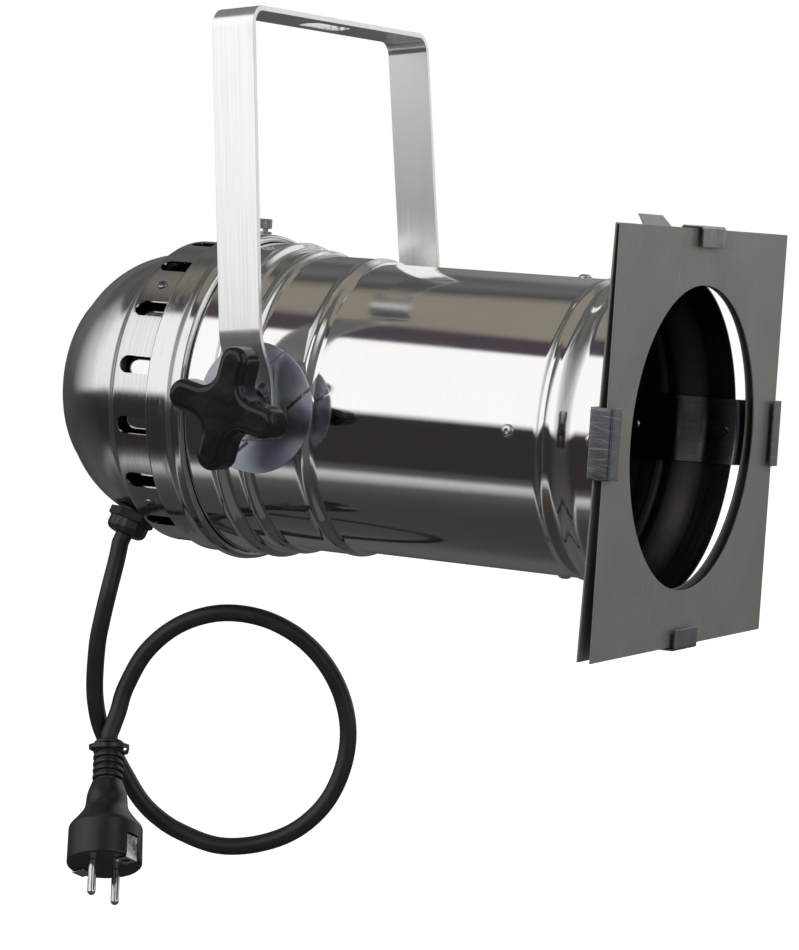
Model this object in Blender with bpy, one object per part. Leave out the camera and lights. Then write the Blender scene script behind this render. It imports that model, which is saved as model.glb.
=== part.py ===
"""A spun aluminium par can with its yoke, sealed-beam lamp, colour frame and mains lead.

Frame: origin on the middle of the yoke's top face, +Z up, +X the way the can points.
The can hangs in the yoke on an axis along Y and is tipped a little nose down. Its own
pieces are drawn along the can axis, with x = 0 at the pivot, and parented to can_axis.
The right side of the lantern is -Y, the left side is +Y. Lengths are in metres.
"""

import math

import bmesh
import bpy
from mathutils import Matrix, Vector

MM = 0.001

# General
GAP = 0.3 * MM
CAN_TILT = math.radians(6.58)
SHELL_SEGMENTS = 36
INNER_SEGMENTS = 24
SMALL_SEGMENTS = 12
FACET = math.cos(math.pi / SHELL_SEGMENTS)

# Yoke, a bent flat strip
YOKE_DROP = 218 * MM
YOKE_WIDTH = 26 * MM
YOKE_THICKNESS = 3 * MM
YOKE_TOP_HALF = 100.5 * MM
YOKE_WAIST_HALF = 106 * MM
YOKE_BEND_RADIUS = 11 * MM
JOGGLE_TOP = 36 * MM
JOGGLE_FOOT = 16 * MM
FOOT_BELOW_PIVOT = 17.5 * MM
HANG_SLOT_WIDTH = 13 * MM
HANG_SLOT_LENGTH = 45 * MM
FOOT_HOLE_RADIUS = 3.8 * MM
FOOT_HOLE_FORWARD = 7.5 * MM
FOOT_HOLE_UP = 9.4 * MM

# Barrel, spun from sheet
BARREL_WALL = 0.9 * MM
SPIGOT_RADIUS = 89.6 * MM
STEP_RADIUS = 86.4 * MM
BELT_RADIUS = 84.2 * MM
NOSE_RADIUS = 82 * MM
RIM_RADIUS = 88.5 * MM
SPIGOT_REAR = -61.5 * MM
SEAT_BEAD_X = -28 * MM
SEAT_BEAD_HALF = 3.5 * MM
SEAT_BEAD_RISE = 1.4 * MM
BELT_BEAD_X = -12.7 * MM
BELT_BEAD_HALF = 3.2 * MM
BELT_BEAD_RISE = 1.0 * MM
BELT_FRONT = 20.5 * MM
BELT_RIDGE_X = 24.4 * MM
BELT_RIDGE_RISE = 1.0 * MM
NOSE_REAR = 29 * MM
NOSE_BEAD_X = 169 * MM
NOSE_BEAD_HALF = 3.5 * MM
NOSE_BEAD_RISE = 1.6 * MM
FLARE_REAR = 173 * MM
FLARE_FRONT = 192 * MM
RIM_X = 207.2 * MM
FLARE_STEPS = 3

# Ring that couples the rear housing to the barrel
RING_WALL = 0.8 * MM
RING_FIT = 0.6 * MM
RING_REAR = -72.7 * MM
RING_BAND_FRONT = -58.2 * MM
RING_BEAD_RISE = 3 * MM
RING_BEAD_LENGTH = 9 * MM
RING_FRONT = -47.4 * MM

# Rear cap
CAP_WALL = 1.2 * MM
CAP_END = -156.5 * MM
CAP_DISC_RADIUS = 46 * MM
CAP_CORNER_RADIUS = 13 * MM
DOME_X = -104.3 * MM
DOME_OFFSET = 22.1 * MM
DOME_RADIUS = 57.4 * MM
SHOULDER_REAR = -105 * MM
SHOULDER_FRONT = -95.5 * MM
CAP_BAND_RADIUS = 87.5 * MM
VENT_COUNT = 16
VENT_WIDTH = 10 * MM
VENT_REAR = -94 * MM

# Vent baffle inside the cap
BAFFLE_RADIUS = 81.6 * MM
BAFFLE_WALL = 0.8 * MM
BAFFLE_REAR = -99.5 * MM
BAFFLE_FRONT = -77 * MM
BAFFLE_SCREW_X = -84 * MM
BAFFLE_SCREW_RADIUS = 1.5 * MM
BAFFLE_SCREW_HEAD_RADIUS = 3 * MM
BAFFLE_SCREW_HEAD = 1.4 * MM
BAFFLE_NUT = 2 * MM
BAFFLE_SCREW_ANGLES = (45, 135, 225, 315)

# Lock screw on top of the ring
LOCK_X = -56 * MM
LOCK_LUG_RADIUS = 3.7 * MM
LOCK_LUG_HEIGHT = 1.2 * MM
LOCK_NECK_RADIUS = 2.6 * MM
LOCK_SCREW_RADIUS = 1.6 * MM
LOCK_HEAD_RADIUS = 3.7 * MM
LOCK_HEAD_HEIGHT = 5.7 * MM
LOCK_HEAD_LIFT = 1.6 * MM
LOCK_FLUTES = 10

# Pivot hardware, the same on both sides
SPACER_RADIUS = 8.5 * MM
STUD_RADIUS = 4 * MM
STUD_HEAD_RADIUS = 7.5 * MM
STUD_HEAD_THICKNESS = 5.3 * MM
STUD_HEAD_DEPTH = 0.7 * MM
DISC_RADIUS = 36 * MM
DISC_THICKNESS = 1.2 * MM
DISC_SLIT_WIDTH = 1.8 * MM
DISC_SLIT_INNER = 15 * MM
DISC_SLIT_OFFSET = 12.5 * MM
DISC_SLIT_ANGLE = math.radians(41)
WASHER_RADIUS = 8 * MM
WASHER_THICKNESS = 1.4 * MM
KNOB_BOSS_RADIUS = 11 * MM
KNOB_BOSS_LENGTH = 12.3 * MM
KNOB_LOBE_THICKNESS = 19 * MM
KNOB_REACH = 34.5 * MM
KNOB_LOBE_HALF = 8.5 * MM
KNOB_VALLEY_FILLET = 9.6 * MM
KNOB_EDGE = 2.2 * MM
KNOB_TURN = math.radians(-12.5)
INSERT_RADIUS = 6 * MM
INSERT_LENGTH = 13.2 * MM

# Lamp, a sealed beam in a glass shell
LAMP_DEPTH = 127 * MM
LAMP_GLASS = 2.5 * MM
LAMP_RIM_LENGTH = 8 * MM
LAMP_MOUTH_RADIUS = 84.5 * MM
LAMP_FOCUS_SHARE = 86 * MM
LAMP_BASE_RADIUS = 24 * MM
LENS_BULGE = 13 * MM
LENS_GLASS = 4 * MM
PRONG_SPACING = 16 * MM
PRONG_WIDTH = 9 * MM
PRONG_THICKNESS = 1.6 * MM
PRONG_LENGTH = 16 * MM
FILAMENT_WIRE_RADIUS = 0.8 * MM
FILAMENT_SPREAD = 6 * MM
FILAMENT_REACH = 24 * MM
LAMP_WIRE_RADIUS = 1.1 * MM

# Lamp holder, its bracket and the wiring in the cap
HOLDER_RADIUS = 23 * MM
HOLDER_FLOOR = 2.6 * MM
BRACKET_WIDTH = 20 * MM
BRACKET_HALF_HEIGHT = 15 * MM
BRACKET_FOOT = 8 * MM
BRACKET_SHEET = 1.2 * MM
LEAD_RADIUS = 2.4 * MM
EARTH_LEAD_RADIUS = 1.2 * MM
EARTH_STUD_RADIUS = 3.5 * MM
EARTH_STUD_HEIGHT = 7 * MM
EARTH_STUD_OUT = 30 * MM

# Cable gland in the cap
GLAND_X = -115.2 * MM
GLAND_ANGLE = math.radians(67.3)
GLAND_LIFT = 0.5 * MM
GLAND_HEX_FLAT = 24 * MM
GLAND_HEX_HEIGHT = 5.2 * MM
GLAND_THREAD_RADIUS = 9.8 * MM
GLAND_THREAD_LENGTH = 10 * MM
GLAND_NUT_RADIUS = 11.9 * MM
GLAND_NUT_EXIT_RADIUS = 8.2 * MM
GLAND_NUT_HEIGHT = 7.6 * MM
LOCKNUT_DEPTH = 3.6 * MM
LOCKNUT_THICKNESS = 4 * MM

# Colour frame and the clips that hold it
FRAME_SIDE = 225 * MM
FRAME_SHEET = 1 * MM
FRAME_FACE_X = 220.8 * MM
FRAME_GAP_TOP = 1.2 * MM
FRAME_GAP_BOTTOM = 6.2 * MM
FRAME_HOLE_RADIUS = 82.3 * MM
TAB_HEIGHT = 5.4 * MM
TAB_LEAN = 3 * MM
CLIP_SHEET = 1 * MM
SIDE_CLIP_WIDTH = 37 * MM
END_CLIP_WIDTH = 30 * MM
CLIP_STRAP_REAR = 140 * MM
CLIP_TURN_X = 211.2 * MM
CLIP_FRONT_X = 224.3 * MM
CLIP_LIP_LENGTH = 11.4 * MM
CLIP_SEAT_GAP = 0.6 * MM
RIVET_REAR_X = 149.6 * MM
RIVET_FRONT_X = 201.6 * MM
RIVET_RADIUS = 1.9 * MM
RIVET_HEAD_RADIUS = 3.7 * MM
RIVET_HEAD = 1.7 * MM
RIVET_TAIL_RADIUS = 3 * MM
RIVET_TAIL = 1.2 * MM
HOLE_CLEARANCE = 0.35 * MM
SIDES = {"top": 0, "right": 90, "bottom": 180, "left": 270}

# Mains lead. The lead hangs in a plane that faces VIEW_TURN from the near side, and each
# point of its route is (along that plane, up, out of the plane) from the gland, in mm.
CORD_RADIUS = 5 * MM
VIEW_TURN = math.radians(28.8)
CORD_ROUTE = (
    (-4.6, -15.0, 5.0),
    (-9.3, -31.9, 9.0),
    (-13.8, -47.9, 8.2),
    (-17.6, -63.9, 6.0),
    (-20.4, -88.4, 2.0),
    (-19.4, -106.2, -1.5),
    (-16.1, -118.2, -3.7),
    (-10.3, -130.2, -5.0),
    (-4.4, -142.0, -5.0),
    (3.3, -155.6, -4.5),
    (13.0, -166.0, -3.4),
    (26.0, -174.6, -1.0),
    (47.6, -182.8, 3.0),
    (71.1, -182.5, 5.0),
    (93.4, -175.0, 7.0),
    (111.3, -159.9, 8.0),
    (122.2, -139.5, 8.0),
    (126.0, -117.7, 8.0),
    (122.3, -95.9, 8.0),
    (112.1, -76.2, 8.0),
    (96.5, -60.6, 8.0),
    (76.2, -50.4, 8.0),
    (52.9, -47.6, 7.0),
    (29.8, -53.8, 6.0),
    (10.5, -68.5, 4.5),
    (-2.2, -88.8, 3.5),
    (-7.2, -103.1, 5.0),
)
CORD_END = (-12.4, -120.1, 10.7)
CORD_STEP = 2.2
PLUG_LEAN = math.radians(29.6)
PLUG_SWAY = math.radians(1.7)
PLUG_TURN = math.radians(-53.9)
PLUG_RADIUS = 21.5 * MM
PLUG_SKIRT = 23.5 * MM
PLUG_SHOULDER = 10.5 * MM
PLUG_NECK = 7.5 * MM
PLUG_NECK_RADIUS = 11.6 * MM
PLUG_HEIGHT = 50.5 * MM
RELIEF_RADIUS = 8.9 * MM
RELIEF_GROOVE = 1.5 * MM
RELIEF_RIBS = 6
RELIEF_LENGTH = 24.6 * MM
PIN_RADIUS = 2.4 * MM
PIN_LENGTH = 20.5 * MM
PIN_SPACING = 20 * MM
EARTH_CLIP_WIDTH = 9 * MM
EARTH_SHEET = 0.8 * MM
EARTH_CLIP_LENGTH = 13 * MM
EARTH_CLIP_SINK = 1.6 * MM
EARTH_TONGUE = 7.6 * MM
EARTH_HOLE_RADIUS = 2.6 * MM
TIE_THICKNESS = 1.2 * MM
TIE_WIDTH = 2.6 * MM
TIE_DROP = 2.4 * MM
TIE_FIT = 1.55
TIE_SLACK = 1.6 * MM
TIE_LEAN = 0.5 * PLUG_LEAN

# Sizes that follow from the ones above
RING_INNER = SPIGOT_RADIUS + RING_FIT
RING_RADIUS = RING_INNER + RING_WALL
DISC_INNER_FACE = SPIGOT_RADIUS + SEAT_BEAD_RISE + GAP + 0.1 * MM
DISC_OUTER_FACE = DISC_INNER_FACE + DISC_THICKNESS
FOOT_INNER_FACE = DISC_OUTER_FACE + GAP
FOOT_OUTER_FACE = FOOT_INNER_FACE + YOKE_THICKNESS
WASHER_OUTER_FACE = FOOT_OUTER_FACE + GAP + WASHER_THICKNESS
KNOB_FACE_START = WASHER_OUTER_FACE + GAP
STUD_HOLE_RADIUS = STUD_RADIUS + GAP
LAMP_RIM_RADIUS = SPIGOT_RADIUS - BARREL_WALL - 2 * GAP
LAMP_FRONT = SEAT_BEAD_X + GAP + 0.2 * MM
LAMP_RIM_REAR = LAMP_FRONT - LAMP_RIM_LENGTH
LENS_REAR = LAMP_RIM_REAR + 0.55 * LAMP_RIM_LENGTH
PRONG_END = LAMP_FRONT + LENS_BULGE - LAMP_DEPTH
LAMP_BASE_REAR = PRONG_END + PRONG_LENGTH
HOLDER_FRONT = LAMP_BASE_REAR - 2 * GAP
HOLDER_REAR = PRONG_END - GAP - HOLDER_FLOOR
CAP_FLOOR = CAP_END + CAP_WALL
WEB_INNER = FRAME_SIDE / 2 + CLIP_SEAT_GAP

MATERIALS = {
    "spun_aluminium": ((0.80, 0.81, 0.80), 1.0, 0.14),
    "satin_aluminium": ((0.52, 0.52, 0.51), 1.0, 0.34),
    "bright_aluminium": ((0.86, 0.86, 0.85), 1.0, 0.2),
    "yoke_aluminium": ((0.78, 0.79, 0.77), 1.0, 0.3),
    "zinc": ((0.62, 0.63, 0.63), 1.0, 0.35),
    "blue_zinc": ((0.30, 0.31, 0.48), 1.0, 0.3),
    "steel": ((0.56, 0.56, 0.55), 1.0, 0.3),
    "brass": ((0.78, 0.58, 0.28), 1.0, 0.3),
    "nickel": ((0.72, 0.70, 0.66), 1.0, 0.15),
    "frame_paint": ((0.13, 0.125, 0.115), 0.3, 0.55),
    "black_plastic": ((0.012, 0.012, 0.013), 0.0, 0.22),
    "black_rubber": ((0.010, 0.010, 0.012), 0.0, 0.5),
    "mirror": ((0.90, 0.90, 0.90), 1.0, 0.05),
    "glass": ((0.75, 0.80, 0.80), 0.0, 0.08),
    "ceramic": ((0.82, 0.80, 0.74), 0.0, 0.45),
    "lead_white": ((0.75, 0.74, 0.70), 0.0, 0.6),
    "lead_green": ((0.10, 0.35, 0.10), 0.0, 0.5),
}


def clear_scene():
    """Remove every object that the startup scene holds."""
    for obj in list(bpy.data.objects):
        bpy.data.objects.remove(obj, do_unlink=True)


def material(name):
    """Principled material of the palette, made when it is first asked for."""
    if name in bpy.data.materials:
        return bpy.data.materials[name]
    colour, metallic, roughness = MATERIALS[name]
    made = bpy.data.materials.new(name)
    made.use_nodes = True
    shader = made.node_tree.nodes["Principled BSDF"]
    shader.inputs["Base Color"].default_value = (*colour, 1.0)
    shader.inputs["Metallic"].default_value = metallic
    shader.inputs["Roughness"].default_value = roughness
    made.diffuse_color = (*colour, 1.0)
    return made


def empty(name, parent=None, matrix=None):
    """Axis marker that carries the pieces of one moving body."""
    marker = bpy.data.objects.new(name, None)
    bpy.context.collection.objects.link(marker)
    marker.parent = parent
    marker.matrix_local = matrix or Matrix()
    return marker


def mesh_from(bm, name):
    """Turn a bmesh into a mesh whose faces point outward and are shaded smooth."""
    bmesh.ops.remove_doubles(bm, verts=bm.verts, dist=1e-7)
    bmesh.ops.recalc_face_normals(bm, faces=bm.faces)
    mesh = bpy.data.meshes.new(name)
    bm.to_mesh(mesh)
    bm.free()
    mesh.shade_smooth()
    mesh.set_sharp_from_angle(angle=math.radians(30))
    return mesh


def add(name, mesh, finish, parent=None, matrix=None):
    """Link a named piece with its material under its parent."""
    piece = bpy.data.objects.new(name, mesh)
    bpy.context.collection.objects.link(piece)
    piece.parent = parent
    piece.matrix_local = matrix or Matrix()
    mesh.materials.clear()
    mesh.materials.append(material(finish))
    return piece


def add_cutter(name, bm, parent=None, matrix=None):
    """Hidden solid that Boolean modifiers take away."""
    cutter = bpy.data.objects.new(name, mesh_from(bm, name))
    bpy.context.collection.objects.link(cutter)
    cutter.parent = parent
    cutter.matrix_local = matrix or Matrix()
    cutter.hide_render = True
    cutter.display_type = "WIRE"
    return cutter


def cut(piece, *cutters):
    """Take each cutter away from the piece."""
    for cutter in cutters:
        modifier = piece.modifiers.new(cutter.name, "BOOLEAN")
        modifier.operation = "DIFFERENCE"
        modifier.solver = "EXACT"
        modifier.object = cutter


def around_axis(angle, x=0.0):
    """Placement whose local Z points outward: 0 is the top, 90 the right side."""
    return Matrix.Translation((x, 0, 0)) @ Matrix.Rotation(math.radians(angle), 4, "X")


def arc(centre, radius, start, end, steps):
    """Points along an arc, angles in degrees, both ends included."""
    points = []
    for index in range(steps + 1):
        angle = math.radians(start + (end - start) * index / steps)
        points.append((centre[0] + radius * math.cos(angle), centre[1] + radius * math.sin(angle)))
    return points


def ease(start, end, steps):
    """S-shaped blend between two points of an outline, without its two ends."""
    points = []
    for index in range(1, steps):
        share = index / steps
        rise = (1 - math.cos(math.pi * share)) / 2
        points.append((start[0] + (end[0] - start[0]) * share, start[1] + (end[1] - start[1]) * rise))
    return points


def offset_path(path, distance):
    """Path moved sideways to its right by a distance, mitred at its corners."""
    moved = []
    for index, point in enumerate(path):
        here = Vector(point)
        before = here - Vector(path[index - 1]) if index > 0 else None
        after = Vector(path[index + 1]) - here if index < len(path) - 1 else None
        normals = [Vector((d.y, -d.x)).normalized() for d in (before, after) if d is not None]
        mean = sum(normals, Vector((0, 0))).normalized()
        moved.append(tuple(here + mean * distance / max(mean.dot(normals[0]), 0.3)))
    return moved


def sheet_profile(path, wall):
    """Closed outline of a sheet whose outer face follows the path."""
    return list(path) + offset_path(path, wall)[::-1]


def spun(profile, segments, closed=True, along_can=True):
    """Profile of (along, out) points turned about an axis: local X, or local Z."""
    bm = bmesh.new()
    verts = [bm.verts.new((out, 0, along)) for along, out in profile]
    edges = [bm.edges.new(pair) for pair in zip(verts, verts[1:])]
    if closed:
        edges.append(bm.edges.new((verts[-1], verts[0])))
    bmesh.ops.spin(
        bm, geom=verts + edges, cent=(0, 0, 0), axis=(0, 0, 1),
        angle=2 * math.pi, steps=segments, use_merge=True,
    )
    if along_can:
        bm.transform(Matrix.Rotation(math.pi / 2, 4, "Y"))
    return bm


def solid_of_revolution(profile, segments):
    """Turned solid about local Z from (along, out) points whose ends lie on the axis."""
    path = [(profile[0][0], 0.0)] + list(profile) + [(profile[-1][0], 0.0)]
    return spun(path, segments, closed=False, along_can=False)


def prism(outline, low, high, matrix=None):
    """Outline of (x, y) points extruded along Z from low to high."""
    bm = bmesh.new()
    face = bm.faces.new([bm.verts.new((x, y, low)) for x, y in outline])
    swept = bmesh.ops.extrude_face_region(bm, geom=[face])
    top = [item for item in swept["geom"] if isinstance(item, bmesh.types.BMVert)]
    bmesh.ops.translate(bm, verts=top, vec=(0, 0, high - low))
    if matrix:
        bm.transform(matrix)
    return bm


def rings(layers):
    """Skin over a stack of equal rings of points, closed by a flat cap at each end."""
    bm = bmesh.new()
    loops = [[bm.verts.new(point) for point in layer] for layer in layers]
    count = len(loops[0])
    for lower, upper in zip(loops, loops[1:]):
        for index in range(count):
            after = (index + 1) % count
            bm.faces.new((lower[index], lower[after], upper[after], upper[index]))
    bm.faces.new(loops[0][::-1])
    bm.faces.new(loops[-1])
    return bm


def merged(meshes):
    """One bmesh from several, each still its own closed solid."""
    whole = bmesh.new()
    for bm in meshes:
        part = bpy.data.meshes.new("part")
        bm.to_mesh(part)
        bm.free()
        whole.from_mesh(part)
        bpy.data.meshes.remove(part)
    return whole


def stadium(length, width, steps=6):
    """Slot outline with round ends, long along Y."""
    reach = (length - width) / 2
    top = arc((0, reach), width / 2, 0, 180, steps)
    return top + arc((0, -reach), width / 2, 180, 360, steps)


def circle(radius, segments, turn=0.0):
    """Regular outline whose corners lie on a circle."""
    step = 2 * math.pi / segments
    return [(radius * math.cos(turn + step * k), radius * math.sin(turn + step * k))
            for k in range(segments)]


def hexagon(flat, turn=0.0):
    """Outline of a hexagon from its width across flats."""
    return circle(flat / math.sqrt(3), 6, turn)


def tube(name, points, radius, finish, sides=2, parent=None, location=(0, 0, 0)):
    """Round wire or cable through the points, with flat ends."""
    curve = bpy.data.curves.new(name, "CURVE")
    curve.dimensions = "3D"
    curve.bevel_depth = radius
    curve.bevel_resolution = sides
    curve.use_fill_caps = True
    spline = curve.splines.new("POLY")
    spline.points.add(len(points) - 1)
    for knot, place in zip(spline.points, points):
        knot.co = (*place, 1.0)
    piece = bpy.data.objects.new(name, curve)
    bpy.context.collection.objects.link(piece)
    piece.parent = parent
    piece.location = location
    curve.materials.append(material(finish))
    return piece


def smooth_route(knots, step):
    """Even points along a smooth curve through the knots, about a step apart."""
    fine = []
    padded = [2 * knots[0] - knots[1]] + list(knots) + [2 * knots[-1] - knots[-2]]
    for a, b, c, d in zip(padded, padded[1:], padded[2:], padded[3:]):
        for index in range(12):
            t = index / 12
            fine.append(0.5 * (2 * b + (c - a) * t + (2 * a - 5 * b + 4 * c - d) * t**2
                               + (3 * b - a - 3 * c + d) * t**3))
    fine.append(knots[-1])
    lengths = [(q - p).length for p, q in zip(fine, fine[1:])]
    count = round(sum(lengths) / step)
    even = [fine[0]]
    walked = 0.0
    target = sum(lengths) / count
    for start, end, length in zip(fine, fine[1:], lengths):
        while walked + length > target * len(even) and len(even) < count:
            even.append(start.lerp(end, (target * len(even) - walked) / length))
        walked += length
    return even + [fine[-1]]


def make_yoke(pivot):
    """Flat strip bent to a stirrup, with a joggle above each foot and a hanging slot."""
    lean = math.atan2(YOKE_WAIST_HALF - YOKE_TOP_HALF, YOKE_DROP - JOGGLE_TOP)
    bend = (YOKE_TOP_HALF - YOKE_BEND_RADIUS, -YOKE_BEND_RADIUS)
    left = [
        (FOOT_OUTER_FACE, -YOKE_DROP - FOOT_BELOW_PIVOT),
        (FOOT_OUTER_FACE, -YOKE_DROP + JOGGLE_FOOT),
        (YOKE_WAIST_HALF, -YOKE_DROP + JOGGLE_TOP),
    ]
    left += arc(bend, YOKE_BEND_RADIUS, math.degrees(lean), 90, 5)
    right = [(-y, z) for y, z in reversed(left)]
    outer = left + right
    outline = outer + offset_path(outer, -YOKE_THICKNESS)[::-1]
    upright = Matrix(((0, 0, 1, 0), (1, 0, 0, 0), (0, 1, 0, 0), (0, 0, 0, 1)))
    body = prism(outline, -YOKE_WIDTH / 2, YOKE_WIDTH / 2, upright)
    yoke = add("yoke", mesh_from(body, "yoke"), "yoke_aluminium")
    slot = prism(stadium(HANG_SLOT_LENGTH, HANG_SLOT_WIDTH), -2 * YOKE_THICKNESS, YOKE_THICKNESS)
    slot_cutter = add_cutter("hang_slot_cutter", slot)
    sideways = Matrix.Rotation(math.pi / 2, 4, "X")
    reach = 1.2 * FOOT_OUTER_FACE
    foot_hole = prism(circle(FOOT_HOLE_RADIUS, SMALL_SEGMENTS), -reach, reach, sideways)
    place = Matrix.Translation((FOOT_HOLE_FORWARD, 0, FOOT_HOLE_UP - YOKE_DROP))
    foot_cutter = add_cutter("foot_hole_cutter", foot_hole, matrix=place)
    cut(yoke, slot_cutter, foot_cutter, pivot)


def pivot_cutter():
    """Long pin along the pivot axis that bores the stud holes."""
    sideways = Matrix.Rotation(math.pi / 2, 4, "X")
    reach = 1.1 * FOOT_OUTER_FACE
    pin = prism(circle(STUD_HOLE_RADIUS, SMALL_SEGMENTS), -reach, reach, sideways)
    return add_cutter("pivot_hole_cutter", pin, matrix=Matrix.Translation((0, 0, -YOKE_DROP)))


def barrel_path():
    """Outer face of the barrel from its rear spigot to its front rim."""
    path = [
        (SPIGOT_REAR, SPIGOT_RADIUS),
        (SEAT_BEAD_X - SEAT_BEAD_HALF, SPIGOT_RADIUS),
        (SEAT_BEAD_X, SPIGOT_RADIUS + SEAT_BEAD_RISE),
        (SEAT_BEAD_X + SEAT_BEAD_HALF, STEP_RADIUS),
        (BELT_BEAD_X - BELT_BEAD_HALF, STEP_RADIUS),
        (BELT_BEAD_X, STEP_RADIUS + BELT_BEAD_RISE),
        (BELT_BEAD_X + BELT_BEAD_HALF, BELT_RADIUS),
        (BELT_FRONT, BELT_RADIUS),
        (BELT_RIDGE_X, BELT_RADIUS + BELT_RIDGE_RISE),
        (NOSE_REAR, NOSE_RADIUS),
        (NOSE_BEAD_X - NOSE_BEAD_HALF, NOSE_RADIUS),
        (NOSE_BEAD_X, NOSE_RADIUS + NOSE_BEAD_RISE),
        (FLARE_REAR, NOSE_RADIUS),
    ]
    path += ease((FLARE_REAR, NOSE_RADIUS), (FLARE_FRONT, RIM_RADIUS), FLARE_STEPS)
    path += [(FLARE_FRONT, RIM_RADIUS), (RIM_X, RIM_RADIUS)]
    return path


def make_barrel(can, pivot, rivet_holes):
    """Spun barrel with its beads, pivot holes and rivet holes."""
    profile = sheet_profile(barrel_path(), BARREL_WALL)
    barrel = add("barrel", mesh_from(spun(profile, SHELL_SEGMENTS), "barrel"), "spun_aluminium", can)
    cut(barrel, pivot, rivet_holes)


def make_rivets(can):
    """Two rivets for each clip, and the cutter for their holes in barrel and clips."""
    rows = (("rear", RIVET_REAR_X, NOSE_RADIUS), ("front", RIVET_FRONT_X, RIM_RADIUS))
    holes = []
    for row, x, wall_radius in rows:
        head = wall_radius + GAP
        tail = wall_radius - BARREL_WALL - CLIP_SEAT_GAP - CLIP_SHEET - GAP
        profile = [
            (tail - RIVET_TAIL, RIVET_TAIL_RADIUS * 0.8),
            (tail, RIVET_TAIL_RADIUS),
            (tail, RIVET_RADIUS),
            (head, RIVET_RADIUS),
            (head, RIVET_HEAD_RADIUS),
            (head + RIVET_HEAD * 0.75, RIVET_HEAD_RADIUS * 0.6),
            (head + RIVET_HEAD, 0.0),
        ]
        mesh = mesh_from(solid_of_revolution(profile, 8), f"{row}_rivet")
        for side, angle in SIDES.items():
            place = around_axis(angle, x)
            add(f"clip_rivet_{side}_{row}", mesh, "bright_aluminium", can, place)
            hole = circle(RIVET_RADIUS + HOLE_CLEARANCE, 8, math.pi / 8)
            holes.append(prism(hole, tail, head + GAP, place))
    return add_cutter("rivet_hole_cutter", merged(holes), can)


def clip_path():
    """Outer face of a clip: strap in the barrel, flare, radial wall, web and front lip."""
    seat = BARREL_WALL + CLIP_SEAT_GAP
    web = WEB_INNER + CLIP_SHEET
    path = [
        (CLIP_STRAP_REAR, NOSE_RADIUS - seat),
        (FLARE_REAR, NOSE_RADIUS - seat),
    ]
    path += ease((FLARE_REAR, NOSE_RADIUS - seat), (FLARE_FRONT, RIM_RADIUS - seat), FLARE_STEPS)
    path += [
        (FLARE_FRONT, RIM_RADIUS - seat),
        (RIM_X + GAP, RIM_RADIUS - seat),
        (CLIP_TURN_X, RIM_RADIUS + CLIP_SHEET),
        (CLIP_TURN_X, web),
        (CLIP_FRONT_X, web),
        (CLIP_FRONT_X, web - CLIP_LIP_LENGTH),
    ]
    return path


def make_clip(side, can, rivet_holes):
    """Clip bent from strip: curved to the barrel's wall inside, flat outside."""
    name = "frame_clip_" + side
    width = SIDE_CLIP_WIDTH if side in ("right", "left") else END_CLIP_WIDTH
    outer = clip_path()
    inner = offset_path(outer, CLIP_SHEET)
    columns = [width * (0.5 - k / 4) for k in range(5)]
    bm = bmesh.new()
    grid = []
    for face in (outer, inner):
        rows = []
        for along, out in face:
            curved = along < RIM_X + 2 * GAP
            sag = [out - math.sqrt(out**2 - y**2) if curved else 0.0 for y in columns]
            rows.append([bm.verts.new((along, y, out - s)) for y, s in zip(columns, sag)])
        grid.append(rows)
    top, bottom = grid
    last = len(columns) - 1
    for row in (len(top) - 1, 0):
        for k in range(last):
            bm.faces.new((top[row][k], bottom[row][k], bottom[row][k + 1], top[row][k + 1]))
    for near, far in zip(range(len(top)), range(1, len(top))):
        for k in (0, last):
            bm.faces.new((top[near][k], top[far][k], bottom[far][k], bottom[near][k]))
        for k in range(last):
            bm.faces.new((top[near][k], top[near][k + 1], top[far][k + 1], top[far][k]))
            bm.faces.new((bottom[near][k], bottom[far][k], bottom[far][k + 1], bottom[near][k + 1]))
    clip = add(name, mesh_from(bm, name), "zinc", can, around_axis(SIDES[side]))
    cut(clip, rivet_holes)


def make_ring(housing, lock_hole):
    """Ring with a rolled bead that sleeves over the barrel's spigot."""
    bead = RING_BAND_FRONT + RING_BEAD_LENGTH / 2
    crest = RING_RADIUS + RING_BEAD_RISE
    path = [
        (RING_REAR, CAP_BAND_RADIUS + GAP),
        (RING_REAR, RING_RADIUS),
        (RING_BAND_FRONT, RING_RADIUS),
        (bead - RING_BEAD_LENGTH * 0.1, crest - RING_BEAD_RISE * 0.12),
        (bead + RING_BEAD_LENGTH * 0.12, crest),
        (RING_FRONT - RING_WALL * 1.6, crest - RING_BEAD_RISE * 0.2),
        (RING_FRONT, RING_RADIUS + RING_WALL),
        (RING_FRONT, RING_INNER),
    ]
    bm = spun(sheet_profile(path, RING_WALL), SHELL_SEGMENTS)
    ring = add("lamp_housing_ring", mesh_from(bm, "lamp_housing_ring"), "bright_aluminium", housing)
    cut(ring, lock_hole)


def dome_radius(x):
    """Radius of the cap's dome at a place along the can."""
    return DOME_OFFSET + math.sqrt(DOME_RADIUS**2 - (x - DOME_X) ** 2)


def cap_path():
    """Outer face of the cap from the middle of its end to its front flange."""
    corner = (CAP_END + CAP_CORNER_RADIUS, CAP_DISC_RADIUS)
    path = [(CAP_END, 0.0)]
    path += arc(corner, CAP_CORNER_RADIUS, 180, 127, 3)
    path += arc((DOME_X, DOME_OFFSET), DOME_RADIUS, 138, 90.7, 6)
    shoulder = (SHOULDER_REAR, DOME_OFFSET + DOME_RADIUS)
    path += ease(shoulder, (SHOULDER_FRONT, CAP_BAND_RADIUS), 3)
    path += [
        (SHOULDER_FRONT, CAP_BAND_RADIUS),
        (RING_REAR + RING_WALL + GAP, CAP_BAND_RADIUS),
        (RING_REAR + RING_WALL + GAP, RING_INNER - GAP),
    ]
    return path


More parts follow.
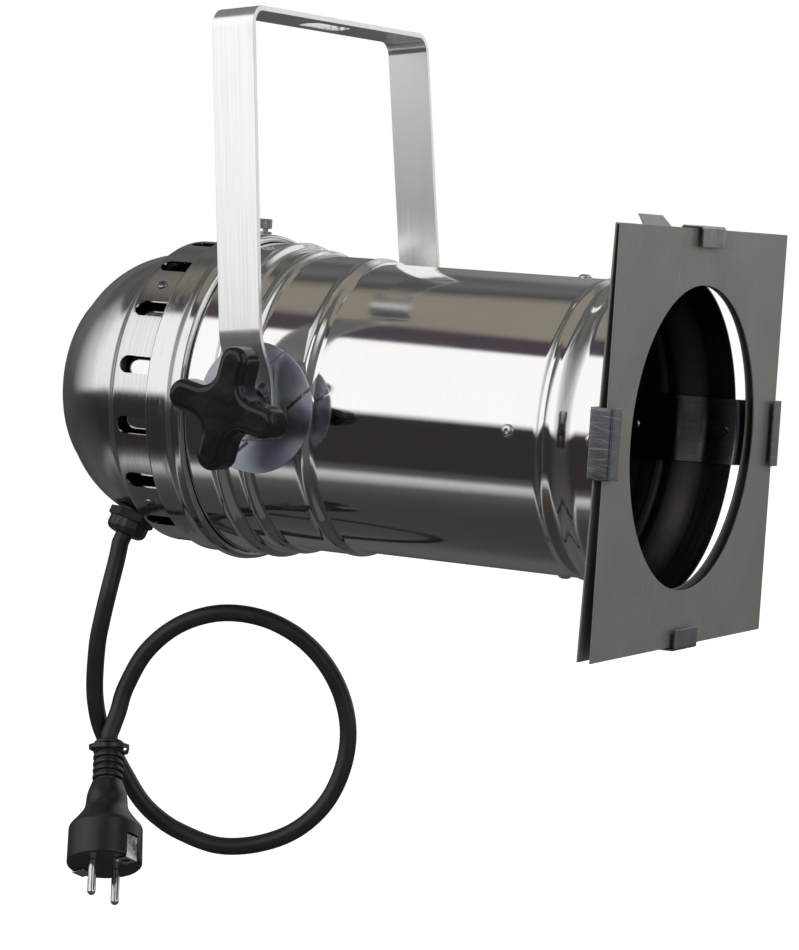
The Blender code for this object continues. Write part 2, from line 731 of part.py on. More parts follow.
def vent_outline():
    """Slot outline along the can: round at the rear, square under the ring."""
    half = VENT_WIDTH / 2
    front = RING_REAR + GAP
    return [(front, -half), (front, half)] + arc((VENT_REAR + half, 0), half, 90, 270, 4)


def baffle_screws():
    """Placements of the screws that carry the vent baffle."""
    return [around_axis(angle, BAFFLE_SCREW_X) for angle in BAFFLE_SCREW_ANGLES]


def make_cap(housing, gland_place):
    """Domed rear cap with its vent slots, and the holes for the screws and the gland."""
    path = cap_path()
    inner = offset_path(path, CAP_WALL)
    inner[0] = (CAP_FLOOR, 0.0)
    bm = spun(path + inner[::-1], SHELL_SEGMENTS, closed=False)
    cap = add("rear_cap", mesh_from(bm, "rear_cap"), "satin_aluminium", housing)
    vents = []
    for index in range(VENT_COUNT):
        angle = 360 * (index + 0.5) / VENT_COUNT
        low = CAP_BAND_RADIUS - 3 * CAP_WALL
        high = CAP_BAND_RADIUS + 2 * CAP_WALL
        vents.append(prism(vent_outline(), low, high, around_axis(angle)))
    hole = circle(BAFFLE_SCREW_RADIUS + HOLE_CLEARANCE, 8)
    reach = CAP_BAND_RADIUS + CAP_WALL
    screw_holes = [prism(hole, BAFFLE_RADIUS - 3 * MM, reach, place) for place in baffle_screws()]
    gland = circle(GLAND_THREAD_RADIUS + HOLE_CLEARANCE, 24)
    gland_hole = prism(gland, -GLAND_THREAD_LENGTH, GLAND_HEX_HEIGHT, gland_place)
    cutter = add_cutter("cap_cutter", merged(vents + screw_holes + [gland_hole]), housing)
    cut(cap, cutter)


def make_baffle(housing):
    """Bright sleeve behind the vents, on four screws with spacers."""
    inside = BAFFLE_RADIUS - BAFFLE_WALL
    profile = [(BAFFLE_REAR, BAFFLE_RADIUS), (BAFFLE_FRONT, BAFFLE_RADIUS),
               (BAFFLE_FRONT, inside), (BAFFLE_REAR, inside)]
    sleeve = add("vent_baffle", mesh_from(spun(profile, SHELL_SEGMENTS), "vent_baffle"),
                 "mirror", housing)
    hole = circle(BAFFLE_SCREW_RADIUS + HOLE_CLEARANCE, 8)
    band_inner = CAP_BAND_RADIUS - CAP_WALL
    holes = [prism(hole, inside - 2 * MM, BAFFLE_RADIUS + 1 * MM, place) for place in baffle_screws()]
    nut_face = inside * FACET - GAP
    cut(sleeve, add_cutter("baffle_cutter", merged(holes), housing))
    profile = [
        (nut_face - BAFFLE_NUT, BAFFLE_SCREW_HEAD_RADIUS * 0.9),
        (nut_face, BAFFLE_SCREW_HEAD_RADIUS * 0.9),
        (nut_face, BAFFLE_SCREW_RADIUS),
        (BAFFLE_RADIUS + GAP, BAFFLE_SCREW_RADIUS),
        (BAFFLE_RADIUS + GAP, BAFFLE_SCREW_HEAD_RADIUS),
        (band_inner - 2 * GAP, BAFFLE_SCREW_HEAD_RADIUS),
        (band_inner - 2 * GAP, BAFFLE_SCREW_RADIUS),
        (CAP_BAND_RADIUS + GAP, BAFFLE_SCREW_RADIUS),
        (CAP_BAND_RADIUS + GAP, BAFFLE_SCREW_HEAD_RADIUS),
        (CAP_BAND_RADIUS + GAP + BAFFLE_SCREW_HEAD, BAFFLE_SCREW_HEAD_RADIUS * 0.6),
    ]
    mesh = mesh_from(solid_of_revolution(profile, 8), "baffle_screw")
    for index, place in enumerate(baffle_screws(), 1):
        add(f"baffle_screw_{index}", mesh, "zinc", housing, place)


def make_lock(housing):
    """Lug on the ring and the knurled screw that locks the ring to the spigot."""
    lug_low = RING_RADIUS + RING_BEAD_RISE + GAP
    lug_high = lug_low + LOCK_LUG_HEIGHT
    bore = LOCK_SCREW_RADIUS + GAP
    profile = [
        (RING_INNER + 0.1 * MM, LOCK_NECK_RADIUS),
        (lug_low, LOCK_NECK_RADIUS),
        (lug_low, LOCK_LUG_RADIUS),
        (lug_high, LOCK_LUG_RADIUS),
        (lug_high, bore),
        (RING_INNER + 0.1 * MM, bore),
    ]
    place = around_axis(0, LOCK_X)
    lug = spun(profile, SMALL_SEGMENTS, along_can=False)
    add("lock_lug", mesh_from(lug, "lock_lug"), "steel", housing, place)
    head_low = lug_high + LOCK_HEAD_LIFT
    head_high = head_low + LOCK_HEAD_HEIGHT
    shank = circle(LOCK_SCREW_RADIUS, 2 * LOCK_FLUTES)
    head = []
    for index, (x, y) in enumerate(circle(LOCK_HEAD_RADIUS, 2 * LOCK_FLUTES)):
        share = 1.0 if index % 2 else 0.88
        head.append((x * share, y * share))
    stack = [(SPIGOT_RADIUS + GAP, shank, 1.0), (head_low, shank, 1.0), (head_low, head, 1.0),
             (head_high - 0.6 * MM, head, 1.0), (head_high, head, 0.85)]
    layers = [[(x * size, y * size, z) for x, y in outline] for z, outline, size in stack]
    add("lock_screw", mesh_from(rings(layers), "lock_screw"), "steel", housing, place)
    hole = prism(circle(LOCK_NECK_RADIUS + HOLE_CLEARANCE, SMALL_SEGMENTS),
                 SPIGOT_RADIUS, lug_high, place)
    return add_cutter("lock_hole_cutter", hole, housing)


def knob_outline():
    """Four round lobes joined by hollow fillets."""
    quarter = arc((KNOB_REACH - KNOB_LOBE_HALF, 0), KNOB_LOBE_HALF, -90, 90, 5)
    corner = KNOB_LOBE_HALF + KNOB_VALLEY_FILLET
    quarter += arc((corner, corner), KNOB_VALLEY_FILLET, 270, 180, 3)
    outline = []
    for turn in range(4):
        spin = Matrix.Rotation(math.pi / 2 * turn + KNOB_TURN, 2)
        outline += [tuple(spin @ Vector(point)) for point in quarter]
    return outline


def make_knob(name, parent, place):
    """Lobed hand knob with a bore for its threaded insert."""
    outline = knob_outline()
    boss = [tuple(Vector(point).normalized() * KNOB_BOSS_RADIUS) for point in outline]
    back = KNOB_FACE_START + KNOB_BOSS_LENGTH
    front = back + KNOB_LOBE_THICKNESS
    shrink = 1 - KNOB_EDGE / KNOB_REACH
    stack = [
        (KNOB_FACE_START, boss, 1.0),
        (back, boss, 1.0),
        (back, outline, shrink),
        (back + KNOB_EDGE, outline, 1.0),
        (front - KNOB_EDGE, outline, 1.0),
        (front, outline, shrink),
    ]
    layers = [[(x * size, y * size, z) for x, y in ring] for z, ring, size in stack]
    knob = add(name, mesh_from(rings(layers), name), "black_plastic", parent, place)
    bore = prism(circle(INSERT_RADIUS + GAP, 16), KNOB_FACE_START - 1 * MM,
                 KNOB_FACE_START + GAP + INSERT_LENGTH + GAP)
    cut(knob, add_cutter(name + "_bore_cutter", bore, parent, place))


def collar(low, high, radius, bore, segments):
    """Plain ring about local Z."""
    profile = [(low, bore), (low, radius), (high, radius), (high, bore)]
    return spun(profile, segments, along_can=False)


def make_disc(name, parent, place):
    """Friction disc slit inward from its rim on two parallel lines."""
    bm = collar(DISC_INNER_FACE, DISC_OUTER_FACE, DISC_RADIUS, STUD_HOLE_RADIUS, 40)
    disc = add(name, mesh_from(bm, name), "blue_zinc", parent, place)
    slits = []
    half = DISC_SLIT_WIDTH / 2
    for side in (-1, 1):
        for end in (-1, 1):
            near = end * DISC_SLIT_INNER
            far = end * DISC_RADIUS * 1.1
            middle = side * DISC_SLIT_OFFSET
            slit = [(near, middle - half), (far, middle - half), (far, middle + half), (near, middle + half)]
            slits.append(prism(slit, DISC_INNER_FACE - 1 * MM, DISC_OUTER_FACE + 1 * MM,
                               Matrix.Rotation(DISC_SLIT_ANGLE, 4, "Z")))
    cut(disc, add_cutter(name + "_slit_cutter", merged(slits), parent, place))


def make_pivot_side(side, can):
    """Spacer, friction disc, stud, washer, knob and insert of one pivot."""
    place = around_axis(SIDES[side])
    spacer = collar(BELT_RADIUS + GAP, DISC_INNER_FACE - GAP, SPACER_RADIUS, STUD_HOLE_RADIUS, 16)
    add("spacer_" + side, mesh_from(spacer, "spacer"), "steel", can, place)
    make_disc("friction_disc_" + side, can, place)
    washer = collar(FOOT_OUTER_FACE + GAP, WASHER_OUTER_FACE, WASHER_RADIUS, STUD_HOLE_RADIUS, 20)
    add("pivot_washer_" + side, mesh_from(washer, "washer"), "steel", can, place)
    head_high = BELT_RADIUS - BARREL_WALL - STUD_HEAD_DEPTH
    insert_low = KNOB_FACE_START + GAP
    insert_high = insert_low + INSERT_LENGTH
    stud_profile = [
        (head_high - STUD_HEAD_THICKNESS, STUD_HEAD_RADIUS),
        (head_high, STUD_HEAD_RADIUS),
        (head_high, STUD_RADIUS),
        (insert_high - 1 * MM, STUD_RADIUS),
    ]
    stud = solid_of_revolution(stud_profile, SMALL_SEGMENTS)
    add("pivot_stud_" + side, mesh_from(stud, "stud"), "zinc", can, place)
    make_knob("knob_" + side, can, place)
    insert = collar(insert_low, insert_high, INSERT_RADIUS, STUD_HOLE_RADIUS, 16)
    add("knob_insert_" + side, mesh_from(insert, "insert"), "brass", can, place)


def reflector_radius(x):
    """Outer radius of the lamp's parabolic shell at a place along the can."""
    apex = LAMP_RIM_REAR - LAMP_FOCUS_SHARE
    return LAMP_MOUTH_RADIUS * math.sqrt(max(x - apex, 0.0) / LAMP_FOCUS_SHARE)


def lamp_throat():
    """Place along the can where the shell narrows to the lamp's base."""
    apex = LAMP_RIM_REAR - LAMP_FOCUS_SHARE
    return apex + LAMP_FOCUS_SHARE * (LAMP_BASE_RADIUS / LAMP_MOUTH_RADIUS) ** 2


def make_lamp(can):
    """Reflector, lens, contact prongs, filament and the wire ring that holds the rim."""
    throat = lamp_throat()
    steps = [LAMP_RIM_REAR + (throat - LAMP_RIM_REAR) * (k / 5) ** 0.7 for k in range(6)]
    outer = [(LENS_REAR - GAP, LAMP_RIM_RADIUS), (LAMP_RIM_REAR, LAMP_RIM_RADIUS)]
    outer += [(x, reflector_radius(x)) for x in steps]
    outer += [(LAMP_BASE_REAR, LAMP_BASE_RADIUS), (LAMP_BASE_REAR, 0.0)]
    inner = [(throat + LAMP_GLASS, 0.0)]
    inner += [(x + LAMP_GLASS, reflector_radius(x) - LAMP_GLASS) for x in reversed(steps)]
    inner += [(LENS_REAR - GAP, LAMP_MOUTH_RADIUS - LAMP_GLASS)]
    shell = spun([inner[-1]] + outer + inner[:-1], INNER_SEGMENTS, closed=False)
    shell_edges = [edge for edge in shell.edges if edge.is_boundary]
    bmesh.ops.bridge_loops(shell, edges=shell_edges)
    add("lamp_reflector", mesh_from(shell, "lamp_reflector"), "mirror", can)

    bulge = (LAMP_MOUTH_RADIUS**2 + LENS_BULGE**2) / (2 * LENS_BULGE)
    radii = [LAMP_MOUTH_RADIUS * k / 4 for k in range(4, -1, -1)]
    front = [(LAMP_FRONT + LENS_BULGE - bulge + math.sqrt(bulge**2 - r**2), r) for r in radii]
    back = [(x - LENS_GLASS, r * 0.97) for x, r in reversed(front)]
    lens = [(LENS_REAR, back[-1][1]), (LENS_REAR, LAMP_RIM_RADIUS), (LAMP_FRONT, LAMP_RIM_RADIUS)]
    lens = back + lens + front
    add("lamp_lens", mesh_from(spun(lens, INNER_SEGMENTS, closed=False), "lamp_lens"), "glass", can)

    blade = block((PRONG_END, -PRONG_THICKNESS / 2, -PRONG_WIDTH / 2),
                  (LAMP_BASE_REAR - GAP, PRONG_THICKNESS / 2, PRONG_WIDTH / 2))
    prong = mesh_from(blade, "lamp_prong")
    for side, turn in (("right", -1), ("left", 1)):
        place = Matrix.Translation((0, turn * PRONG_SPACING / 2, 0))
        add("lamp_prong_" + side, prong, "nickel", can, place)

    root = throat + LAMP_GLASS + GAP
    hairpin = [(root, -FILAMENT_SPREAD, 0), (root + FILAMENT_REACH * 0.85, -FILAMENT_SPREAD, 0),
               (root + FILAMENT_REACH, -FILAMENT_SPREAD * 0.6, 0),
               (root + FILAMENT_REACH, FILAMENT_SPREAD * 0.6, 0),
               (root + FILAMENT_REACH * 0.85, FILAMENT_SPREAD, 0), (root, FILAMENT_SPREAD, 0)]
    tube("lamp_filament", hairpin, FILAMENT_WIRE_RADIUS, "nickel", 1, can)

    wire = LAMP_RIM_RADIUS - LAMP_WIRE_RADIUS
    behind = LAMP_RIM_REAR - LAMP_WIRE_RADIUS - GAP
    spring = []
    for index in range(35):
        angle = math.radians(-84 + 348 * index / 34)
        spring.append((behind, wire * math.cos(angle), wire * math.sin(angle)))
    tube("lamp_retaining_ring", spring, LAMP_WIRE_RADIUS, "steel", 1, can)


def block(low, high):
    """Rectangular solid between two corners."""
    outline = [(low[0], low[1]), (high[0], low[1]), (high[0], high[1]), (low[0], high[1])]
    return prism(outline, low[2], high[2])


def make_holder(housing):
    """Ceramic holder that the prongs push into, and its bracket on the cap's end."""
    profile = [(HOLDER_REAR, HOLDER_RADIUS), (HOLDER_FRONT, HOLDER_RADIUS)]
    lathe = [(HOLDER_REAR, 0.0)] + profile + [(HOLDER_FRONT, 0.0)]
    holder = add("lamp_holder", mesh_from(spun(lathe, 24, closed=False), "lamp_holder"),
                 "ceramic", housing)
    slots = []
    fit = HOLE_CLEARANCE
    for side in (-1, 1):
        middle = side * PRONG_SPACING / 2
        slots.append(block(
            (PRONG_END - fit, middle - PRONG_THICKNESS / 2 - fit, -PRONG_WIDTH / 2 - fit),
            (HOLDER_FRONT + 2 * MM, middle + PRONG_THICKNESS / 2 + fit, PRONG_WIDTH / 2 + fit)))
    cut(holder, add_cutter("prong_slot_cutter", merged(slots), housing))

    plate = HOLDER_REAR - GAP
    floor = CAP_FLOOR + GAP
    half = BRACKET_HALF_HEIGHT
    foot = half + BRACKET_FOOT
    left = [(plate, 0.0), (plate, half), (floor + BRACKET_SHEET, half), (floor + BRACKET_SHEET, foot)]
    outer = [(x, -z) for x, z in reversed(left[1:])] + left[1:]
    inner = offset_path(outer, -BRACKET_SHEET)
    upright = Matrix(((1, 0, 0, 0), (0, 0, -1, 0), (0, 1, 0, 0), (0, 0, 0, 1)))
    hat = prism(outer + inner[::-1], -BRACKET_WIDTH / 2, BRACKET_WIDTH / 2, upright)
    add("holder_bracket", mesh_from(hat, "holder_bracket"), "zinc", housing)


def gland_placement():
    """Placement on the cap's dome whose local Z points square out of it."""
    radius = dome_radius(GLAND_X)
    lean = math.asin((GLAND_X - DOME_X) / DOME_RADIUS)
    turn = Matrix.Rotation(math.pi / 2 + GLAND_ANGLE, 4, "X")
    return turn @ Matrix.Translation((GLAND_X, 0, radius)) @ Matrix.Rotation(lean, 4, "Y")


def make_gland(housing, place):
    """Hexagonal body through the wall, domed clamping nut outside and locknut inside."""
    hexagon_flat_forward = math.pi / 6
    hex_low = GLAND_LIFT
    hex_high = hex_low + GLAND_HEX_HEIGHT
    outline = hexagon(GLAND_HEX_FLAT, hexagon_flat_forward)
    thread = [tuple(Vector(p).normalized() * GLAND_THREAD_RADIUS) for p in circle(1.0, 24, math.pi / 6)]
    corners = []
    for start, end in zip(outline, outline[1:] + outline[:1]):
        corners += [tuple(Vector(start).lerp(Vector(end), k / 4)) for k in range(4)]
    stack = ((-GLAND_THREAD_LENGTH, thread), (hex_low, thread), (hex_low, corners), (hex_high, corners))
    layers = [[(x, y, z) for x, y in ring] for z, ring in stack]
    add("gland_body", mesh_from(rings(layers), "gland_body"), "black_plastic", housing, place)
    nut_low = hex_high + GAP
    nut_high = nut_low + GLAND_NUT_HEIGHT
    dome = arc((0, 0), 1.0, 20, 75, 4)
    drop = GLAND_NUT_RADIUS - GLAND_NUT_EXIT_RADIUS
    profile = [(nut_low, GLAND_NUT_RADIUS)]
    profile += [(nut_high - 4 * MM * (1 - s), GLAND_NUT_RADIUS - drop * (1 - c)) for c, s in dome]
    profile += [(nut_high, GLAND_NUT_EXIT_RADIUS * 0.9)]
    nut = solid_of_revolution(profile, 16)
    add("gland_nut", mesh_from(nut, "gland_nut"), "black_plastic", housing, place)
    low = -LOCKNUT_DEPTH - LOCKNUT_THICKNESS
    locknut = collar(low, -LOCKNUT_DEPTH, GLAND_HEX_FLAT / 2, GLAND_THREAD_RADIUS + GAP, 16)
    add("gland_locknut", mesh_from(locknut, "gland_locknut"), "black_plastic", housing, place)
    return nut_high


def make_wiring(housing, place):
    """Sleeved leads from the gland to the holder, an earth lead and its terminal."""
    inward = -(place.to_3x3() @ Vector((0, 0, 1)))
    start = place @ Vector((-LEAD_RADIUS * 1.6, 0, -GLAND_THREAD_LENGTH - GAP))
    side = Vector((0, start.y, start.z)).normalized()
    middle = (HOLDER_FRONT + HOLDER_REAR) / 2
    end = Vector((middle, 0, 0)) + side * (HOLDER_RADIUS + GAP)
    knots = [start, start + inward * 8 * MM, end + side * 10 * MM, end]
    route = smooth_route(knots, 3 * LEAD_RADIUS)
    tube("holder_lead_sleeve", route, LEAD_RADIUS, "lead_white", 1, housing)
    stud = Matrix.Translation((CAP_FLOOR + GAP, EARTH_STUD_OUT, 0)) @ Matrix.Rotation(math.pi / 2, 4, "Y")
    step = EARTH_STUD_HEIGHT * 0.6
    tip = EARTH_STUD_RADIUS * 0.6
    profile = [(0, EARTH_STUD_RADIUS), (step, EARTH_STUD_RADIUS), (step, tip), (EARTH_STUD_HEIGHT, tip)]
    terminal = solid_of_revolution(profile, SMALL_SEGMENTS)
    add("earth_terminal", mesh_from(terminal, "earth_terminal"), "brass", housing, stud)
    begin = place @ Vector((LEAD_RADIUS * 1.6, 0, -GLAND_THREAD_LENGTH - GAP))
    touch = Vector((CAP_FLOOR + GAP + EARTH_STUD_HEIGHT * 0.3, EARTH_STUD_OUT,
                    -EARTH_STUD_RADIUS - 2 * GAP))
    knots = [begin, begin + inward * 8 * MM, begin + inward * 18 * MM]
    knots += [touch + Vector(place) * MM for place in ((16, -6, -24), (4, -1, -13), (0.5, 0, -6))]
    knots.append(touch)
    route = smooth_route(knots, 5 * EARTH_LEAD_RADIUS)
    tube("earth_lead", route, EARTH_LEAD_RADIUS, "lead_green", 1, housing)


def make_colour_frame(can):
    """Sheet folded over at its top edge, with a round hole in both leaves and a grip tab."""
    half = FRAME_SIDE / 2
    face = FRAME_FACE_X
    inside = face - FRAME_SHEET
    rear_top = inside - FRAME_GAP_TOP
    rear_low = inside - FRAME_GAP_BOTTOM
    outline = [
        (face, -half), (face, half), (rear_top - FRAME_SHEET, half), (rear_low - FRAME_SHEET, -half),
        (rear_low, -half), (rear_top, half - FRAME_SHEET), (inside, half - FRAME_SHEET), (inside, -half),
    ]
    upright = Matrix(((1, 0, 0, 0), (0, 0, -1, 0), (0, 1, 0, 0), (0, 0, 0, 1)))
    body = prism(outline, -half, half, upright)
    frame = add("colour_frame", mesh_from(body, "colour_frame"), "frame_paint", can)
    forward = Matrix.Rotation(math.pi / 2, 4, "Y")
    bore = prism(circle(FRAME_HOLE_RADIUS, 40), rear_low - 4 * MM, face + 2 * MM, forward)
    cut(frame, add_cutter("frame_hole_cutter", bore, can))
    root = half - FRAME_SHEET * 0.8
    top = half + TAB_HEIGHT
    feet = (-half + 0.125 * FRAME_SIDE, -half + 0.28 * FRAME_SIDE)
    tips = (feet[0], feet[1] - TAB_HEIGHT)
    bm = bmesh.new()
    corners = []
    for x in (face - 0.05 * MM, inside + 0.05 * MM):
        corners.append([bm.verts.new(p) for p in (
            (x, feet[0], root), (x, feet[1], root), (x, feet[1], half),
            (x - TAB_LEAN, tips[1], top), (x - TAB_LEAN, tips[0], top), (x, feet[0], half))])
    front, back = corners
    for k in range(6):
        bm.faces.new((front[k], front[(k + 1) % 6], back[(k + 1) % 6], back[k]))
    for ring in (front, back):
        bm.faces.new((ring[0], ring[1], ring[2], ring[5]))
        bm.faces.new((ring[5], ring[2], ring[3], ring[4]))
    tab = add_cutter("frame_tab", bm, can)
    union = frame.modifiers.new("frame_tab", "BOOLEAN")
    union.operation = "UNION"
    union.solver = "EXACT"
    union.object = tab


def cord_frame():
    """Directions that the lead's route is laid out in: along, up and out of its plane."""
    along = Vector((math.cos(VIEW_TURN), math.sin(VIEW_TURN), 0))
    out = Vector((math.sin(VIEW_TURN), -math.cos(VIEW_TURN), 0))
    return along, Vector((0, 0, 1)), out


def route_point(place, exit_point):
    """World place of one point of the lead's route."""
    along, up, out = cord_frame()
    return exit_point + (along * place[0] + up * place[1] + out * place[2]) * MM


def plug_placement(exit_point, lean=PLUG_LEAN):
    """Placement at the lead's end: local Z up along the plug, local X along its pins."""
    along, up, out = cord_frame()
    sway = Matrix.Rotation(-PLUG_SWAY, 3, out)
    axis = sway @ (up * math.cos(lean) - out * math.sin(lean))
    toward = out * math.cos(lean) + up * math.sin(lean)
    pins = sway @ (along * math.cos(PLUG_TURN) + toward * math.sin(PLUG_TURN))
    side = axis.cross(pins)
    turn = Matrix((pins, side, axis)).transposed().to_4x4()
    return Matrix.Translation(route_point(CORD_END, exit_point)) @ turn


def make_cord(exit_point, direction):
    """Mains lead from the gland's mouth to the top of the plug's strain relief."""
    plug = plug_placement(exit_point)
    axis = plug.to_3x3() @ Vector((0, 0, 1))
    start = exit_point + direction * GAP
    end = plug.translation + axis * GAP
    knots = [start + direction * CORD_RADIUS]
    knots += [route_point(place, exit_point) for place in CORD_ROUTE]
    knots += [end + axis * CORD_RADIUS]
    points = [start] + smooth_route(knots, CORD_STEP * 2 * CORD_RADIUS) + [end]
    local = [point - exit_point for point in points]
    tube("mains_cord", local, CORD_RADIUS, "black_rubber", 3, None, exit_point)
    length = sum((b - a).length for a, b in zip(points, points[1:]))
    print(f"mains lead {length * 1000:.0f} mm in {len(points)} points")
    return plug, points


def make_plug(plug):
    """Earthed two-pin plug: body, ribbed strain relief, pins and earth contacts."""
    relief_low = -RELIEF_LENGTH
    pitch = RELIEF_LENGTH / RELIEF_RIBS
    profile = []
    for index in range(RELIEF_RIBS):
        low = relief_low + pitch * index
        groove = RELIEF_RADIUS - RELIEF_GROOVE
        profile += [(low, groove), (low + pitch * 0.35, RELIEF_RADIUS), (low + pitch * 0.7, RELIEF_RADIUS)]
    profile.append((0.0, RELIEF_RADIUS - RELIEF_GROOVE))
    relief = solid_of_revolution(profile, 14)
    add("plug_strain_relief", mesh_from(relief, "plug_strain_relief"), "black_rubber", None, plug)

    top = relief_low - GAP
    face = top - PLUG_HEIGHT
    shoulder = face + PLUG_SKIRT + PLUG_SHOULDER
    profile = [
        (face, PLUG_RADIUS - 1 * MM),
        (face + 1 * MM, PLUG_RADIUS),
        (face + PLUG_SKIRT * 0.93, PLUG_RADIUS * 0.985),
        (face + PLUG_SKIRT, PLUG_RADIUS * 0.95),
        (face + PLUG_SKIRT + PLUG_SHOULDER * 0.45, PLUG_RADIUS * 0.76),
        (shoulder, PLUG_NECK_RADIUS * 1.06),
        (top - PLUG_NECK, PLUG_NECK_RADIUS),
        (top, RELIEF_RADIUS),
    ]
    body = solid_of_revolution(profile, 24)
    piece = add("plug_body", mesh_from(body, "plug_body"), "black_rubber", None, plug)
    notch = EARTH_CLIP_WIDTH / 2 + GAP
    sheet = EARTH_SHEET + 2 * GAP
    pockets = []
    for side in (-1, 1):
        near = side * (PLUG_RADIUS - EARTH_CLIP_SINK - sheet)
        far = side * (PLUG_RADIUS + 2 * MM)
        low = (-notch, min(near, far), face - 1 * MM)
        high = (notch, max(near, far), face + EARTH_CLIP_LENGTH + 1 * MM)
        pockets.append(block(low, high))
    cut(piece, add_cutter("plug_pocket_cutter", merged(pockets), None, plug))

    end = face - GAP - PIN_LENGTH
    nose = [(end + PIN_RADIUS * (1 - math.sin(a)), PIN_RADIUS * math.cos(a)) for a in (1.2, 0.6, 0.0)]
    pin = solid_of_revolution(nose + [(face - GAP, PIN_RADIUS)], SMALL_SEGMENTS)
    pin = mesh_from(pin, "plug_pin")
    for index, side in enumerate((-1, 1), 1):
        place = plug @ Matrix.Translation((side * PIN_SPACING / 2, 0, 0))
        add(f"plug_pin_{index}", pin, "nickel", None, place)

    half = EARTH_CLIP_WIDTH / 2
    inner = PLUG_RADIUS - EARTH_CLIP_SINK - GAP
    tongue = inner - EARTH_TONGUE
    path = [(face + EARTH_CLIP_LENGTH, inner), (face - GAP, inner), (face - GAP, tongue)]
    outline = path + offset_path(path, EARTH_SHEET)[::-1]
    tall = Matrix(((0, 0, 1, 0), (0, 1, 0, 0), (1, 0, 0, 0), (0, 0, 0, 1)))
    strip = mesh_from(prism(outline, -half, half, tall), "plug_earth_contact")
    hole = prism(circle(EARTH_HOLE_RADIUS, SMALL_SEGMENTS), face - 3 * MM, face + 1 * MM,
                 Matrix.Translation((0, tongue + EARTH_HOLE_RADIUS + 1.4 * MM, 0)))
    for index, turn in enumerate((0, math.pi), 1):
        place = plug @ Matrix.Rotation(turn, 4, "Z")
        contact = add(f"plug_earth_contact_{index}", strip, "nickel", None, place)
        if index == 2:
            cut(contact, add_cutter("earth_hole_cutter", hole, None, place))


def make_tie(exit_point, points):
    """Cable tie round the top of the strain relief and the strand that hangs behind it."""
    level = -TIE_DROP
    place = plug_placement(exit_point, TIE_LEAN)
    to_tie = place.inverted()
    hanging = [to_tie @ point for point in points[: len(points) // 2]]
    strand = None
    for a, b in zip(hanging, hanging[1:]):
        if (a.z - level) * (b.z - level) <= 0:
            strand = a.lerp(b, (level - a.z) / (b.z - a.z))
    centres = [Vector((0, 0)), strand.to_2d()]
    reach = [RELIEF_RADIUS + TIE_SLACK, TIE_FIT * CORD_RADIUS + GAP]
    across = (centres[1] - centres[0]).length
    lean = math.acos((reach[0] - reach[1]) / across)
    heading = math.atan2(centres[1].y - centres[0].y, centres[1].x - centres[0].x)
    loops = []
    for extra in (0.0, TIE_THICKNESS):
        loop = arc(centres[0], reach[0] + extra, math.degrees(heading + lean),
                   math.degrees(heading + 2 * math.pi - lean), 12)
        loop += arc(centres[1], reach[1] + extra, math.degrees(heading - lean),
                    math.degrees(heading + lean), 6)
        loops.append(loop)
    inner, outer = loops
    low = level - TIE_WIDTH / 2
    high = level + TIE_WIDTH / 2
    around = ((inner, low), (outer, low), (outer, high), (inner, high))
    layers = [[(x, y, z) for x, y in ring] for ring, z in around]
    bm = bmesh.new()
    loops = [[bm.verts.new(point) for point in layer] for layer in layers]
    count = len(inner)
    for lower, upper in zip(loops, loops[1:] + loops[:1]):
        for k in range(count):
            after = (k + 1) % count
            bm.faces.new((lower[k], lower[after], upper[after], upper[k]))
    add("cord_tie", mesh_from(bm, "cord_tie"), "black_plastic", None, place)


def main():
    clear_scene()
    tipped = Matrix.Translation((0, 0, -YOKE_DROP)) @ Matrix.Rotation(CAN_TILT, 4, "Y")
    can = empty("can_axis", None, tipped)
    housing = empty("housing_slide", can)
    frame_slide = empty("frame_slide", can)
    pivot = pivot_cutter()
    make_yoke(pivot)
    rivet_holes = make_rivets(can)
    make_barrel(can, pivot, rivet_holes)
    for side in SIDES:
        make_clip(side, can, rivet_holes)
    make_pivot_side("right", can)
    make_pivot_side("left", can)
    make_lamp(can)
    make_colour_frame(frame_slide)
    lock_hole = make_lock(housing)
    make_ring(housing, lock_hole)
    gland_place = gland_placement()
    make_cap(housing, gland_place)
    make_baffle(housing)
    make_holder(housing)
    nut_end = make_gland(housing, gland_place)
    make_wiring(housing, gland_place)
    mouth = tipped @ gland_place
    exit_point = mouth @ Vector((0, 0, nut_end))
    direction = mouth.to_3x3() @ Vector((0, 0, 1))
    plug, points = make_cord(exit_point, direction)
    make_plug(plug)
    make_tie(exit_point, points)


main()
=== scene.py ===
"""Looks of the par can: fine pieces, materials, studio light and camera.

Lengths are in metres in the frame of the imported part: origin on the middle of the yoke's
top face, +Z up, +X the way the can points. Pieces of the can are drawn along its own axis,
with x = 0 at the pivot, and placed with CAN.
"""

import math

import bmesh
import bpy
from mathutils import Matrix, Vector


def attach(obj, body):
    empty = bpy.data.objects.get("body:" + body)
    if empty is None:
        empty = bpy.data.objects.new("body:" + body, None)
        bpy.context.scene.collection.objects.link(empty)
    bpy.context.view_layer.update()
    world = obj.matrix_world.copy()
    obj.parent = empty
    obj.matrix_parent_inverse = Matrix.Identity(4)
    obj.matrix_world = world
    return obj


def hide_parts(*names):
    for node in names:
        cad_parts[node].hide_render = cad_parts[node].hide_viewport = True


MM = 0.001
GAP = 0.3 * MM
CAN_TILT = math.radians(6.58)
SHELL_SEGMENTS = 160
SIDES = {"top": 0, "right": 90, "bottom": 180, "left": 270}

